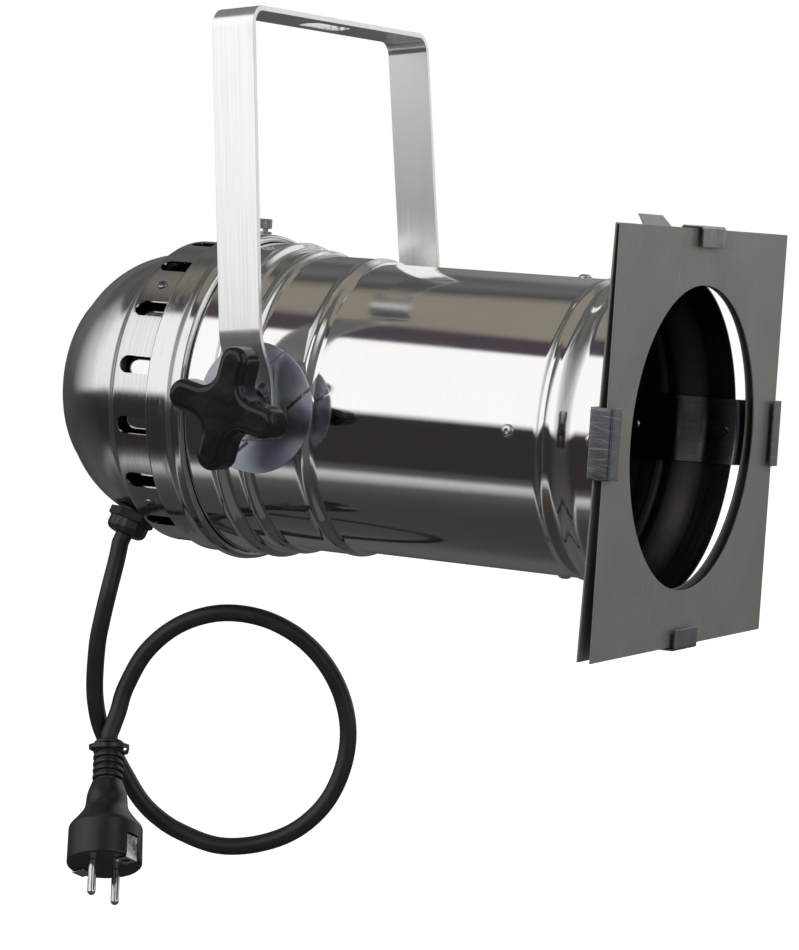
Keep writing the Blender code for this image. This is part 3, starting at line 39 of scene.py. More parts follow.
# Yoke
YOKE_DROP = 218 * MM
YOKE_WIDTH = 26 * MM
YOKE_THICKNESS = 3 * MM
YOKE_TOP_HALF = 100.5 * MM
YOKE_WAIST_HALF = 106 * MM
YOKE_BEND_RADIUS = 11 * MM
JOGGLE_TOP = 36 * MM
JOGGLE_FOOT = 16 * MM
FOOT_BELOW_PIVOT = 17.5 * MM
HANG_SLOT_WIDTH = 13 * MM
HANG_SLOT_LENGTH = 45 * MM
FOOT_HOLE_RADIUS = 3.8 * MM
FOOT_HOLE_FORWARD = 7.5 * MM
FOOT_HOLE_UP = 9.4 * MM
YOKE_JOGGLE_BEND = 7 * MM
YOKE_EDGE = 0.45 * MM

# Barrel
BARREL_WALL = 0.9 * MM
SPIGOT_RADIUS = 89.6 * MM
STEP_RADIUS = 86.4 * MM
BELT_RADIUS = 84.2 * MM
NOSE_RADIUS = 82 * MM
RIM_RADIUS = 88.5 * MM
SPIGOT_REAR = -61.5 * MM
SEAT_BEAD_X = -28 * MM
SEAT_BEAD_HALF = 3.5 * MM
SEAT_BEAD_RISE = 1.4 * MM
BELT_BEAD_X = -12.7 * MM
BELT_BEAD_HALF = 3.2 * MM
BELT_BEAD_RISE = 1.0 * MM
BELT_FRONT = 20.5 * MM
BELT_RIDGE_X = 24.4 * MM
BELT_RIDGE_RISE = 1.0 * MM
NOSE_REAR = 29 * MM
NOSE_BEAD_X = 169 * MM
NOSE_BEAD_HALF = 3.5 * MM
NOSE_BEAD_RISE = 1.6 * MM
FLARE_REAR = 173 * MM
FLARE_FRONT = 192 * MM
RIM_X = 207.2 * MM
BARREL_CORNER = 2.2 * MM

# Ring and rear cap
RING_WALL = 0.8 * MM
RING_INNER = 90.2 * MM
RING_RADIUS = 91 * MM
RING_REAR = -72.7 * MM
RING_BAND_FRONT = -58.2 * MM
RING_BEAD_RISE = 3 * MM
RING_BEAD_LENGTH = 9 * MM
RING_FRONT = -47.4 * MM
RING_CORNER = 1.5 * MM
CAP_WALL = 1.2 * MM
CAP_END = -156.5 * MM
CAP_DISC_RADIUS = 46 * MM
CAP_CORNER_RADIUS = 13 * MM
DOME_X = -104.3 * MM
DOME_OFFSET = 22.1 * MM
DOME_RADIUS = 57.4 * MM
SHOULDER_REAR = -105 * MM
SHOULDER_FRONT = -95.5 * MM
CAP_BAND_RADIUS = 87.5 * MM
VENT_COUNT = 16
VENT_WIDTH = 10 * MM
VENT_REAR = -94 * MM
BAFFLE_RADIUS = 81.6 * MM
BAFFLE_WALL = 0.8 * MM
BAFFLE_REAR = -99.5 * MM
BAFFLE_FRONT = -77 * MM
BAFFLE_SCREW_X = -84 * MM
BAFFLE_SCREW_RADIUS = 1.5 * MM
BAFFLE_SCREW_HEAD_RADIUS = 3 * MM
BAFFLE_SCREW_HEAD = 1.4 * MM
BAFFLE_SCREW_ANGLES = (45, 135, 225, 315)
CROSS_REACH = 1.7 * MM
CROSS_HALF = 0.35 * MM
CROSS_FLOOR = 0.6 * MM

# Lock screw
LOCK_X = -56 * MM
LOCK_LUG_RADIUS = 3.7 * MM
LOCK_LUG_HEIGHT = 1.2 * MM
LOCK_NECK_RADIUS = 2.6 * MM
LOCK_SCREW_RADIUS = 1.6 * MM
LOCK_HEAD_RADIUS = 3.7 * MM
LOCK_HEAD_HEIGHT = 5.7 * MM
LOCK_HEAD_LIFT = 1.6 * MM
LOCK_FLUTES = 22

# Pivot hardware
SPACER_RADIUS = 8.5 * MM
STUD_RADIUS = 4 * MM
DISC_RADIUS = 36 * MM
DISC_THICKNESS = 1.2 * MM
DISC_SLIT_WIDTH = 1.8 * MM
DISC_SLIT_INNER = 15 * MM
DISC_SLIT_OFFSET = 12.5 * MM
DISC_SLIT_ANGLE = math.radians(41)
WASHER_RADIUS = 8 * MM
WASHER_THICKNESS = 1.4 * MM
KNOB_BOSS_RADIUS = 11 * MM
KNOB_BOSS_LENGTH = 12.3 * MM
KNOB_LOBE_THICKNESS = 19 * MM
KNOB_REACH = 34.5 * MM
KNOB_LOBE_HALF = 8.5 * MM
KNOB_VALLEY_FILLET = 9.6 * MM
KNOB_EDGE = 4.2 * MM
KNOB_TURN = math.radians(-12.5)
INSERT_RADIUS = 6 * MM
INSERT_LENGTH = 13.2 * MM
DISC_INNER_FACE = 91.4 * MM
DISC_OUTER_FACE = DISC_INNER_FACE + DISC_THICKNESS
FOOT_INNER_FACE = DISC_OUTER_FACE + GAP
FOOT_OUTER_FACE = FOOT_INNER_FACE + YOKE_THICKNESS
WASHER_OUTER_FACE = FOOT_OUTER_FACE + GAP + WASHER_THICKNESS
KNOB_FACE_START = WASHER_OUTER_FACE + GAP

# Lamp
LAMP_RIM_RADIUS = 88.1 * MM
LAMP_FRONT = -27.5 * MM
LAMP_RIM_REAR = -35.5 * MM
LENS_REAR = -31.1 * MM
LAMP_MOUTH_RADIUS = 84.5 * MM
LENS_BULGE = 13 * MM
LENS_GLASS = 4 * MM
LAMP_GLASS = 2.5 * MM
LAMP_FOCUS_SHARE = 86 * MM
LAMP_BASE_RADIUS = 24 * MM
LAMP_BASE_REAR = -125.5 * MM

# Cable gland
GLAND_X = -115.2 * MM
GLAND_ANGLE = math.radians(67.3)
GLAND_LIFT = 0.5 * MM
GLAND_HEX_FLAT = 24 * MM
GLAND_HEX_HEIGHT = 5.2 * MM
GLAND_THREAD_RADIUS = 9.8 * MM
GLAND_THREAD_LENGTH = 10 * MM
GLAND_NUT_RADIUS = 11.9 * MM
GLAND_NUT_EXIT_RADIUS = 8.2 * MM
GLAND_NUT_HEIGHT = 7.6 * MM
GLAND_NUT_DOME = 4 * MM

# Colour frame and clips
FRAME_SIDE = 225 * MM
FRAME_SHEET = 1 * MM
FRAME_FACE_X = 220.8 * MM
FRAME_GAP_TOP = 1.2 * MM
FRAME_GAP_BOTTOM = 6.2 * MM
FRAME_HOLE_RADIUS = 82.3 * MM
TAB_HEIGHT = 5.4 * MM
TAB_LEAN = 3 * MM
CLIP_SHEET = 1 * MM
SIDE_CLIP_WIDTH = 37 * MM
END_CLIP_WIDTH = 30 * MM
CLIP_STRAP_REAR = 140 * MM
CLIP_TURN_X = 211.2 * MM
CLIP_FRONT_X = 224.3 * MM
CLIP_LIP_LENGTH = 11.4 * MM
CLIP_BEND = 1.6 * MM
CLIP_SEAT_GAP = 0.6 * MM
WEB_INNER = FRAME_SIDE / 2 + CLIP_SEAT_GAP
RIVET_REAR_X = 149.6 * MM
RIVET_FRONT_X = 201.6 * MM
RIVET_RADIUS = 1.9 * MM
RIVET_HEAD_RADIUS = 3.7 * MM
RIVET_HEAD = 1.7 * MM
RIVET_TAIL_RADIUS = 3 * MM
RIVET_TAIL = 1.2 * MM

# Mains lead: points are (along its plane, up, out of the plane) from the gland, in mm
CORD_RADIUS = 5 * MM
VIEW_TURN = math.radians(28.8)
CORD_ROUTE = (
    (-4.6, -15.0, 5.0),
    (-9.3, -31.9, 9.0),
    (-13.8, -47.9, 8.2),
    (-17.6, -63.9, 6.0),
    (-20.4, -88.4, 2.0),
    (-19.4, -106.2, -1.5),
    (-16.1, -118.2, -3.7),
    (-10.3, -130.2, -5.0),
    (-4.4, -142.0, -5.0),
    (3.3, -155.6, -4.5),
    (13.0, -166.0, -3.4),
    (26.0, -174.6, -1.0),
    (47.6, -182.8, 3.0),
    (71.1, -182.5, 5.0),
    (93.4, -175.0, 7.0),
    (111.3, -159.9, 8.0),
    (122.2, -139.5, 8.0),
    (126.0, -117.7, 8.0),
    (122.3, -95.9, 8.0),
    (112.1, -76.2, 8.0),
    (96.5, -60.6, 8.0),
    (76.2, -50.4, 8.0),
    (52.9, -47.6, 7.0),
    (29.8, -53.8, 6.0),
    (10.5, -68.5, 4.5),
    (-2.2, -88.8, 3.5),
    (-7.2, -103.1, 5.0),
)
CORD_END = (-12.4, -120.1, 10.7)
CORD_STEP = 3 * MM
PLUG_LEAN = math.radians(29.6)
PLUG_SWAY = math.radians(1.7)
PLUG_TURN = math.radians(-53.9)
PLUG_RADIUS = 21.5 * MM
PLUG_SKIRT = 23.5 * MM
PLUG_SHOULDER = 10.5 * MM
PLUG_NECK = 7.5 * MM
PLUG_NECK_RADIUS = 11.6 * MM
PLUG_HEIGHT = 50.5 * MM
PLUG_CORNER = 3 * MM
RELIEF_RADIUS = 8.9 * MM
RELIEF_GROOVE = 1.5 * MM
RELIEF_RIBS = 6
RELIEF_LENGTH = 24.6 * MM
PIN_RADIUS = 2.4 * MM
PIN_LENGTH = 20.5 * MM
PIN_SPACING = 20 * MM
EARTH_CLIP_WIDTH = 9 * MM
EARTH_SHEET = 0.8 * MM
EARTH_CLIP_LENGTH = 13 * MM
EARTH_CLIP_SINK = 1.6 * MM
EARTH_TONGUE = 7.6 * MM
EARTH_HOLE_RADIUS = 2.6 * MM
EARTH_HOLE_MARGIN = 1.4 * MM
TIE_THICKNESS = 1.2 * MM
TIE_WIDTH = 2.6 * MM
TIE_DROP = 2.4 * MM
TIE_FIT = 1.55
TIE_SLACK = 1.6 * MM
TIE_LEAN = 0.5 * PLUG_LEAN

# Camera, found from the photograph
CAMERA_PLACE = (0.90253, -1.57428, -0.21819)
CAMERA_AZIMUTH = math.radians(28.7832)
CAMERA_ELEVATION = math.radians(1.3050)
CAMERA_ROLL = math.radians(-2.1040)
CAMERA_LENS = 120.37
FLOOR_LEVEL = -0.66
FLOOR_HALF = 15.0

# Light by height in degrees for four sectors round the object, and the turn of each sector
DARK = (0.034, 0.028, 0.032)
DUSK = (0.075, 0.058, 0.075)
OLIVE = (0.27, 0.245, 0.205)
WARM = (0.042, 0.037, 0.034)
HAZE = (0.062, 0.056, 0.054)
FRONT_LIGHT = (
    (-90, WARM), (-60, WARM), (-50, HAZE), (-44, 0.10), (-41, 0.42), (-38.5, 0.55), (-35.5, 0.10),
    (-31, DARK), (0.5, DARK), (4.5, 1.12), (51, 1.12), (53, DUSK), (61, DUSK), (64, OLIVE), (90, OLIVE),
)
LEFT_LIGHT = (
    (-90, 0.04), (-56, 0.05), (-48, 0.06), (-38, 0.10), (-26, 0.10), (-8, 0.06), (4, 0.08), (14, 0.13),
    (30, 0.16), (38, 0.10), (50, 0.14), (58, 0.08), (64, OLIVE), (90, OLIVE),
)
RIGHT_LIGHT = (
    (-90, 0.10), (-30, 0.10), (-8, 0.16), (2, 0.9), (46, 0.9), (52, 0.12), (62, 0.12), (66, OLIVE),
    (90, OLIVE),
)
BACK_LIGHT = (
    (-90, 0.05), (-34, 0.06), (-14, 0.12), (-5, 0.26), (4, 0.8), (38, 0.9), (50, 0.20), (66, OLIVE),
    (90, OLIVE),
)
FRONT_TURN = (
    (-180, 0.0), (-100, 0.0), (-84, 0.3), (-64, 0.7), (-54, 1.0), (8, 1.0), (16, 0.0), (180, 0.0),
)
RIGHT_TURN = ((-180, 0.0), (44, 0.0), (52, 1.0), (108, 1.0), (116, 0.0), (180, 0.0))
BACK_TURN = ((-180, 0.7), (-168, 0.5), (-150, 0.0), (122, 0.0), (134, 1.0), (180, 1.0))

# Lamps: name, place, size and power
KEYS = (("key_left", (-0.9, -2.0, 1.3), 1.6, 15), ("key_right", (2.1, -0.7, 0.7), 1.4, 14))

PIECES = []

CAN = Matrix.Translation((0, 0, -YOKE_DROP)) @ Matrix.Rotation(CAN_TILT, 4, "Y")

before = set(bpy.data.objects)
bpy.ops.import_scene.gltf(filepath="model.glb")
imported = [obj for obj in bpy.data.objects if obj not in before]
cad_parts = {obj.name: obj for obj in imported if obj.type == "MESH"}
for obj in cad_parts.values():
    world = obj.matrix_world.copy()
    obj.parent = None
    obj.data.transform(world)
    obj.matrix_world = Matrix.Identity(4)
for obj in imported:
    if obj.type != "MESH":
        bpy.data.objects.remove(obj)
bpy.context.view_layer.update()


# Shapes

def around_axis(angle, x=0.0):
    """Placement whose local Z points outward: 0 is the top, 90 the right side."""
    return Matrix.Translation((x, 0, 0)) @ Matrix.Rotation(math.radians(angle), 4, "X")


def axes_to(x, y, z):
    """Turn that takes the three axes to the given directions."""
    return Matrix((x, y, z)).transposed().to_4x4()


def polar(radius, angle):
    return radius * math.cos(angle), radius * math.sin(angle)


def arc(centre, radius, start, end, steps):
    """Points along an arc, angles in degrees, both ends included."""
    points = []
    for index in range(steps + 1):
        x, y = polar(radius, math.radians(start + (end - start) * index / steps))
        points.append((centre[0] + x, centre[1] + y))
    return points


def ease(start, end, steps):
    """S-shaped blend between two points of an outline, without its two ends."""
    points = []
    for index in range(1, steps):
        share = index / steps
        rise = (1 - math.cos(math.pi * share)) / 2
        points.append((start[0] + (end[0] - start[0]) * share, start[1] + (end[1] - start[1]) * rise))
    return points


def rounded(path, radius, steps=4):
    """Path whose inner corners are eased over a radius, or less where it is short."""
    points = [tuple(path[0])]
    for before, here, after in zip(path, path[1:], path[2:]):
        a, b, c = Vector(before), Vector(here), Vector(after)
        if (a - b).angle(c - b, math.pi) > math.radians(176):
            points.append(tuple(b))
            continue
        reach = min(radius, 0.45 * (a - b).length, 0.45 * (c - b).length)
        start = b + (a - b).normalized() * reach
        end = b + (c - b).normalized() * reach
        for index in range(steps + 1):
            t = index / steps
            points.append(tuple(start * (1 - t) ** 2 + b * 2 * t * (1 - t) + end * t**2))
    points.append(tuple(path[-1]))
    return points


def offset_path(path, distance):
    """Path moved sideways to its right by a distance, mitred at its corners."""
    moved = []
    for index, point in enumerate(path):
        here = Vector(point)
        before = here - Vector(path[index - 1]) if index > 0 else None
        after = Vector(path[index + 1]) - here if index < len(path) - 1 else None
        normals = [Vector((d.y, -d.x)).normalized() for d in (before, after) if d is not None]
        mean = sum(normals, Vector((0, 0))).normalized()
        moved.append(tuple(here + mean * distance / max(mean.dot(normals[0]), 0.3)))
    return moved


def turned(profile, segments, closed=False, inner_from=None, along_can=False):
    """Lathe skin from (along, out) points about local Z, or local X along the can.

    Points on the axis become poles. Faces of profile steps from inner_from on get the
    second material.
    """
    bm = bmesh.new()
    loops = []
    for along, out in profile:
        if out < 1e-7:
            loops.append([bm.verts.new((0, 0, along))])
            continue
        turns = [polar(out, 2 * math.pi * k / segments) for k in range(segments)]
        loops.append([bm.verts.new((x, y, along)) for x, y in turns])
    pairs = list(zip(loops, loops[1:]))
    if closed:
        pairs.append((loops[-1], loops[0]))
    for step, (low, high) in enumerate(pairs):
        for k in range(segments):
            after = (k + 1) % segments
            picks = ((low, k), (low, after), (high, after), (high, k))
            corners = [loop[place % len(loop)] for loop, place in picks]
            corners = [v for i, v in enumerate(corners) if v not in corners[:i]]
            if len(corners) < 3:
                continue
            face = bm.faces.new(corners)
            if inner_from is not None and step >= inner_from:
                face.material_index = 1
    if along_can:
        bm.transform(Matrix.Rotation(math.pi / 2, 4, "Y"))
    return bm


def solid_of_revolution(profile, segments):
    """Turned solid about local Z whose ends are closed on the axis."""
    return turned([(profile[0][0], 0.0)] + list(profile) + [(profile[-1][0], 0.0)], segments)


def prism(outline, low, high, matrix=None):
    """Outline of (x, y) points extruded along Z from low to high."""
    bm = bmesh.new()
    face = bm.faces.new([bm.verts.new((x, y, low)) for x, y in outline])
    swept = bmesh.ops.extrude_face_region(bm, geom=[face])
    top = [item for item in swept["geom"] if isinstance(item, bmesh.types.BMVert)]
    bmesh.ops.translate(bm, verts=top, vec=(0, 0, high - low))
    if matrix:
        bm.transform(matrix)
    return bm


def stacked(levels):
    """Layers from (height, outline) pairs."""
    return [[(x, y, z) for x, y in outline] for z, outline in levels]


def rings(layers, capped=True):
    """Skin over a stack of equal rings of points, closed by a flat cap at each end."""
    bm = bmesh.new()
    loops = [[bm.verts.new(point) for point in layer] for layer in layers]
    count = len(loops[0])
    pairs = list(zip(loops, loops[1:]))
    if not capped:
        pairs.append((loops[-1], loops[0]))
    for lower, upper in pairs:
        for index in range(count):
            after = (index + 1) % count
            bm.faces.new((lower[index], lower[after], upper[after], upper[index]))
    if capped:
        bm.faces.new(loops[0][::-1])
        bm.faces.new(loops[-1])
    return bm


def merged(meshes):
    """One bmesh from several, each still its own closed solid."""
    whole = bmesh.new()
    for bm in meshes:
        part = bpy.data.meshes.new("part")
        bm.to_mesh(part)
        bm.free()
        whole.from_mesh(part)
        bpy.data.meshes.remove(part)
    return whole


def stadium(length, width, steps=12):
    """Slot outline with round ends, long along Y."""
    reach = (length - width) / 2
    top = arc((0, reach), width / 2, 0, 180, steps)
    return top + arc((0, -reach), width / 2, 180, 360, steps)


def circle(radius, segments, turn=0.0):
    """Regular outline whose corners lie on a circle."""
    step = 2 * math.pi / segments
    return [polar(radius, turn + step * k) for k in range(segments)]


def block(low, high):
    """Rectangular solid between two corners."""
    outline = [(low[0], low[1]), (high[0], low[1]), (high[0], high[1]), (low[0], high[1])]
    return prism(outline, low[2], high[2])


def collar(low, high, radius, bore, segments, edge=0.25 * MM):
    """Plain ring about local Z with its outer edges eased."""
    outer = rounded([(low, bore), (low, radius), (high, radius), (high, bore)], edge, 3)
    return turned(outer, segments, closed=True)


def mesh_from(bm, name, sharp=35):
    """Mesh whose faces point outward, smooth but for edges over the sharp angle."""
    bmesh.ops.remove_doubles(bm, verts=bm.verts, dist=1e-7)
    bmesh.ops.recalc_face_normals(bm, faces=bm.faces)
    mesh = bpy.data.meshes.new(name)
    bm.to_mesh(mesh)
    bm.free()
    mesh.shade_smooth()
    mesh.set_sharp_from_angle(angle=math.radians(sharp))
    return mesh


def placed(name, data, place=None):
    """New object with its data, at a placement."""
    thing = bpy.data.objects.new(name, data)
    bpy.context.collection.objects.link(thing)
    if place is not None:
        thing.matrix_world = place
    return thing


def cut(piece, bm):
    """Take a solid away from the piece, both drawn in the same place."""
    cutter = placed(piece.name + "_cutter", mesh_from(bm, "cutter"), piece.matrix_world)
    modifier = piece.modifiers.new("cut", "BOOLEAN")
    modifier.operation = "DIFFERENCE"
    modifier.solver = "EXACT"
    modifier.object = cutter
    apply_modifiers([piece], 35)
    bpy.data.objects.remove(cutter, do_unlink=True)


def apply_modifiers(pieces, sharp=None):
    """Keep the result of the pieces' modifiers as their meshes."""
    bpy.context.view_layer.update()
    graph = bpy.context.evaluated_depsgraph_get()
    results = [bpy.data.meshes.new_from_object(piece.evaluated_get(graph)) for piece in pieces]
    for piece, result in zip(pieces, results):
        piece.modifiers.clear()
        piece.data = result
        if sharp is not None:
            result.set_sharp_from_angle(angle=math.radians(sharp))


def soften(piece, width, segments=2, angle=40):
    """Round the piece's sharp edges by a small bevel."""
    modifier = piece.modifiers.new("edges", "BEVEL")
    modifier.width = width
    modifier.segments = segments
    modifier.limit_method = "ANGLE"
    modifier.angle_limit = math.radians(angle)
    modifier.harden_normals = False
    apply_modifiers([piece], 50)


def show(name, bm, body, finish, nodes, place=None, sharp=35):
    """Piece that stands for CAD nodes and rides on a body. Finish is one material or two."""
    piece = placed(name, mesh_from(bm, name, sharp), CAN if place is None else place)
    for each in finish if isinstance(finish, list) else [finish]:
        piece.data.materials.append(each)
    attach(piece, body)
    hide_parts(*nodes)
    PIECES.append(piece)
    return piece


def settle_shading():
    """Let each piece's large faces lead its shading, so that flat faces look flat."""
    for piece in PIECES:
        modifier = piece.modifiers.new("shading", "WEIGHTED_NORMAL")
        modifier.keep_sharp = True
        modifier.weight = 60
    apply_modifiers(PIECES)


# Materials

def node(tree, kind, feeds=None, **settings):
    """Shader node whose inputs take values or the results of other nodes."""
    fresh = tree.nodes.new("ShaderNode" + kind)
    for key, value in settings.items():
        setattr(fresh, key, value)
    for key, value in (feeds or {}).items():
        if isinstance(value, bpy.types.NodeSocket):
            tree.links.new(value, fresh.inputs[key])
        else:
            fresh.inputs[key].default_value = value
    return fresh


def maths(tree, operation, *values):
    return node(tree, "Math", dict(enumerate(values)), operation=operation).outputs[0]


def blended(tree, share, first, second):
    return node(tree, "Mix", {0: share, 6: first, 7: second}, data_type="RGBA").outputs[2]


class Finish:
    """One Principled material built from layers of procedural grain."""

    def __init__(self, name, colour, metallic, roughness):
        self.material = bpy.data.materials.new(name)
        self.material.use_nodes = True
        self.material.diffuse_color = (*colour, 1.0)
        self.tree = self.material.node_tree
        self.shader = self.tree.nodes["Principled BSDF"]
        self.coords = node(self.tree, "TexCoord")
        self.colour = (*colour, 1.0)
        self.height = None
        self.set(Metallic=metallic, Base_Color=self.colour, Roughness=roughness)

    def set(self, **values):
        for key, value in values.items():
            self.shader.inputs[key.replace("_", " ")].default_value = value
        return self

    def link(self, key, result):
        self.tree.links.new(result, self.shader.inputs[key])
        return self

    def grain(self, scale, detail=3.0, start=0.35, end=0.65, turn=(0, 0, 0), low=0.0, high=1.0):
        """Noise with a scale for all axes or for each, spread to the range low to high."""
        scales = (scale, scale, scale) if isinstance(scale, (int, float)) else scale
        feeds = {"Vector": self.coords.outputs["Object"], "Rotation": turn,
                 "Scale": tuple(1 / each for each in scales)}
        mapping = node(self.tree, "Mapping", feeds, vector_type="TEXTURE")
        feeds = {"Vector": mapping.outputs["Vector"], "Scale": 1.0, "Detail": detail}
        noise = node(self.tree, "TexNoise", feeds)
        feeds = {"Value": noise.outputs["Fac"], "From Min": start, "From Max": end,
                 "To Min": low, "To Max": high}
        return node(self.tree, "MapRange", feeds).outputs["Result"]

    def tint(self, share, amount, colour):
        """Blend another colour over the ones so far by part of a layer, or by all of it."""
        if amount is not None:
            share = maths(self.tree, "MULTIPLY", share, amount)
        self.colour = blended(self.tree, share, self.colour, (*colour, 1.0))
        return self.link("Base Color", self.colour)

    def gloss(self, layer, amount, base, marks=None, more=0.0):
        """Roughness of a base with parts of one or two layers added."""
        value = maths(self.tree, "MULTIPLY_ADD", layer, amount, base)
        if marks is not None:
            value = maths(self.tree, "ADD", value, maths(self.tree, "MULTIPLY", marks, more))
        return self.link("Roughness", value)

    def bump(self, height, distance):
        """Relief whose full height is a real distance."""
        feeds = {"Strength": 1.0, "Distance": distance, "Height": height}
        if self.height is not None:
            feeds["Normal"] = self.height
        self.height = node(self.tree, "Bump", feeds).outputs["Normal"]
        return self.link("Normal", self.height)

    def spun(self, amount):
        """Grooves round the can's axis, which stretch the highlights across them."""
        tangent = node(self.tree, "Tangent", direction_type="RADIAL", axis="X")
        self.set(Anisotropic=amount, Anisotropic_Rotation=0.25)
        return self.link("Tangent", tangent.outputs["Tangent"])


def polished():
    """Spun aluminium, polished: fine rings round the can, faint smears and handling marks."""
    finish = Finish("polished_aluminium", (0.86, 0.85, 0.84), 1.0, 0.07)
    lines = finish.grain((1900, 6, 6), 2.0, 0.3, 0.7)
    smears = finish.grain(14, 4.0, 0.48, 0.75)
    finish.gloss(lines, 0.035, 0.045, smears, 0.05)
    finish.tint(lines, 0.05, (0.60, 0.57, 0.55)).tint(smears, 0.12, (0.70, 0.69, 0.66))
    finish.bump(finish.grain((120, 5, 5), 2.0, 0.3, 0.7), 0.000008).bump(lines, 0.0000015)
    return finish.spun(0.7).material


def painted_shade_inside():
    """Unpolished inner face of the barrel and cap: a dark brownish base colour that is painted shade of
    the hollow, with darker blotches.
    """
    # The near-black base colour is painted shade inside the barrel and the cap, not the metal's own
    # colour.
    finish = Finish("inner_aluminium_painted_shade", (0.115, 0.10, 0.092), 1.0, 0.4)
    finish.link("Roughness", finish.grain((600, 8, 8), low=0.32, high=0.5))
    finish.tint(finish.grain(30, 4.0, high=0.7), None, (0.055, 0.045, 0.042))
    return finish.bump(finish.grain((900, 8, 8), 2.0), 0.000005).spun(0.5).material


def satin():
    """Rear cap: spun aluminium, a little duller than the barrel, with grain round the can."""
    finish = Finish("satin_cap", (0.76, 0.755, 0.75), 1.0, 0.18)
    lines = finish.grain((1500, 5, 5), 3.0, 0.3, 0.7)
    coarse = finish.grain((200, 3, 3), 2.0, 0.3, 0.7)
    clouds = finish.grain(24, 4.0, 0.42, 0.72)
    finish.gloss(lines, 0.06, 0.10, clouds, 0.08)
    finish.tint(lines, 0.3, (0.45, 0.44, 0.42)).tint(coarse, 0.25, (0.50, 0.49, 0.47))
    finish.tint(clouds, 0.3, (0.55, 0.55, 0.53))
    return finish.bump(coarse, 0.000012).bump(lines, 0.000003).spun(0.65).material


def ring_metal():
    """Coupling ring: bright, a little softer than the barrel, scuffed on its bead."""
    finish = Finish("ring_aluminium", (0.74, 0.74, 0.73), 1.0, 0.14)
    lines = finish.grain((1300, 8, 8), 2.0, 0.3, 0.7)
    scuffs = finish.grain((140, 50, 50), 5.0, 0.55, 0.7)
    finish.gloss(lines, 0.08, 0.09, scuffs, 0.18).tint(scuffs, 0.4, (0.50, 0.49, 0.48))
    return finish.bump(lines, 0.000004).spun(0.6).material


def yoke_metal():
    """Yoke: light satin aluminium, faintly brushed along the strip, with handling marks."""
    finish = Finish("yoke_satin", (0.93, 0.93, 0.915), 0.85, 0.22)
    lines = finish.grain((1300, 260, 9), 3.0, 0.3, 0.7)
    marks = finish.grain((42, 42, 16), 5.0, 0.55, 0.75)
    finish.gloss(lines, 0.07, 0.17, marks, 0.08)
    finish.tint(lines, 0.14, (0.72, 0.72, 0.71)).tint(marks, 0.25, (0.68, 0.68, 0.67))
    return finish.bump(lines, 0.000003).material


def scratches(finish, count, scale, start, end):
    """Thin straight scratches in several directions, as a share from 0 to 1."""
    total = None
    for index in range(count):
        turn = (0.22 * index * (-1) ** index + 0.05, 0.0, 0.15 * index - 0.25)
        lines = finish.grain((30, scale, 30), 2.0, start, end, turn)
        total = lines if total is None else maths(finish.tree, "MAXIMUM", total, lines)
    return total


def frame_coat():
    """Colour frame: dull warm grey sheet, mottled, scratched by clips and hands."""
    finish = Finish("frame_grey", (0.29, 0.272, 0.258), 0.6, 0.4)
    fine = finish.grain(420, 3.0, 0.3, 0.7)
    marks = scratches(finish, 4, 700, 0.69, 0.76)
    finish.tint(finish.grain(22, 5.0, 0.35, 0.7), 0.5, (0.20, 0.187, 0.177))
    finish.tint(fine, 0.25, (0.35, 0.33, 0.315)).tint(marks, 0.3, (0.55, 0.53, 0.51))
    finish.gloss(fine, 0.12, 0.34, marks, -0.12)
    return finish.bump(fine, 0.000015).bump(marks, -0.000012).material


def zinc_plate():
    """Zinc plated steel: bluish, spangled, with rubbed bright scratches."""
    finish = Finish("zinc_plate", (0.34, 0.34, 0.375), 1.0, 0.25)
    cells = finish.grain(110)
    marks = scratches(finish, 3, 1700, 0.63, 0.73)
    finish.tint(cells, 0.6, (0.17, 0.17, 0.215)).tint(marks, 0.4, (0.72, 0.72, 0.72))
    finish.gloss(cells, 0.10, 0.17)
    return finish.bump(cells, 0.00001).bump(marks, -0.000008).material


def blue_zinc():
    """Friction disc: blue passivated zinc that shifts from violet to teal grey."""
    finish = Finish("blue_zinc_plate", (0.80, 0.80, 0.84), 1.0, 0.2)
    finish.tint(finish.grain(38, 2.5, 0.40, 0.60), 0.8, (0.50, 0.47, 0.72))
    finish.tint(finish.grain(55, 3.0, 0.45, 0.60, (0.4, 1.1, 0.2)), 0.7, (0.56, 0.66, 0.67))
    return finish.gloss(finish.grain(160, 2.0, 0.3, 0.7), 0.08, 0.33).material


def knob_plastic():
    """Glossy black moulded plastic with a slight ripple and dulled patches."""
    finish = Finish("knob_plastic", (0.0095, 0.0078, 0.0085), 0.0, 0.12)
    fine = finish.grain(900, 3.0, 0.3, 0.7)
    dull = finish.grain(45, 4.0, 0.5, 0.7)
    finish.gloss(fine, 0.05, 0.09, dull, 0.07).tint(dull, 0.4, (0.020, 0.017, 0.018))
    finish.bump(finish.grain(70, 2.0, 0.3, 0.7), 0.00006).bump(fine, 0.000004)
    return finish.set(Specular_IOR_Level=0.42).material


def moulded_black(name, low, high, colour=(0.015, 0.014, 0.016)):
    """Black rubber or plastic: fine moulded grain and dusty patches."""
    finish = Finish(name, colour, 0.0, low)
    fine = finish.grain(1300, 3.0, 0.3, 0.7)
    dust = finish.grain(60, 5.0, 0.5, 0.75)
    finish.gloss(fine, (high - low) * 0.6, low, dust, (high - low) * 0.4)
    finish.tint(dust, 0.5, tuple(c * 2.4 for c in colour))
    return finish.bump(fine, 0.00001).material


def plain_metal(name, colour, low, high):
    """Small hardware: even metal with a fine grain and tarnish."""
    finish = Finish(name, colour, 1.0, low)
    fine = finish.grain(700, 3.0, 0.3, 0.7)
    finish.gloss(fine, high - low, low)
    finish.tint(finish.grain(160, 4.0, 0.45, 0.7), 0.45, tuple(c * 0.62 for c in colour))
    return finish.bump(fine, 0.000005).material


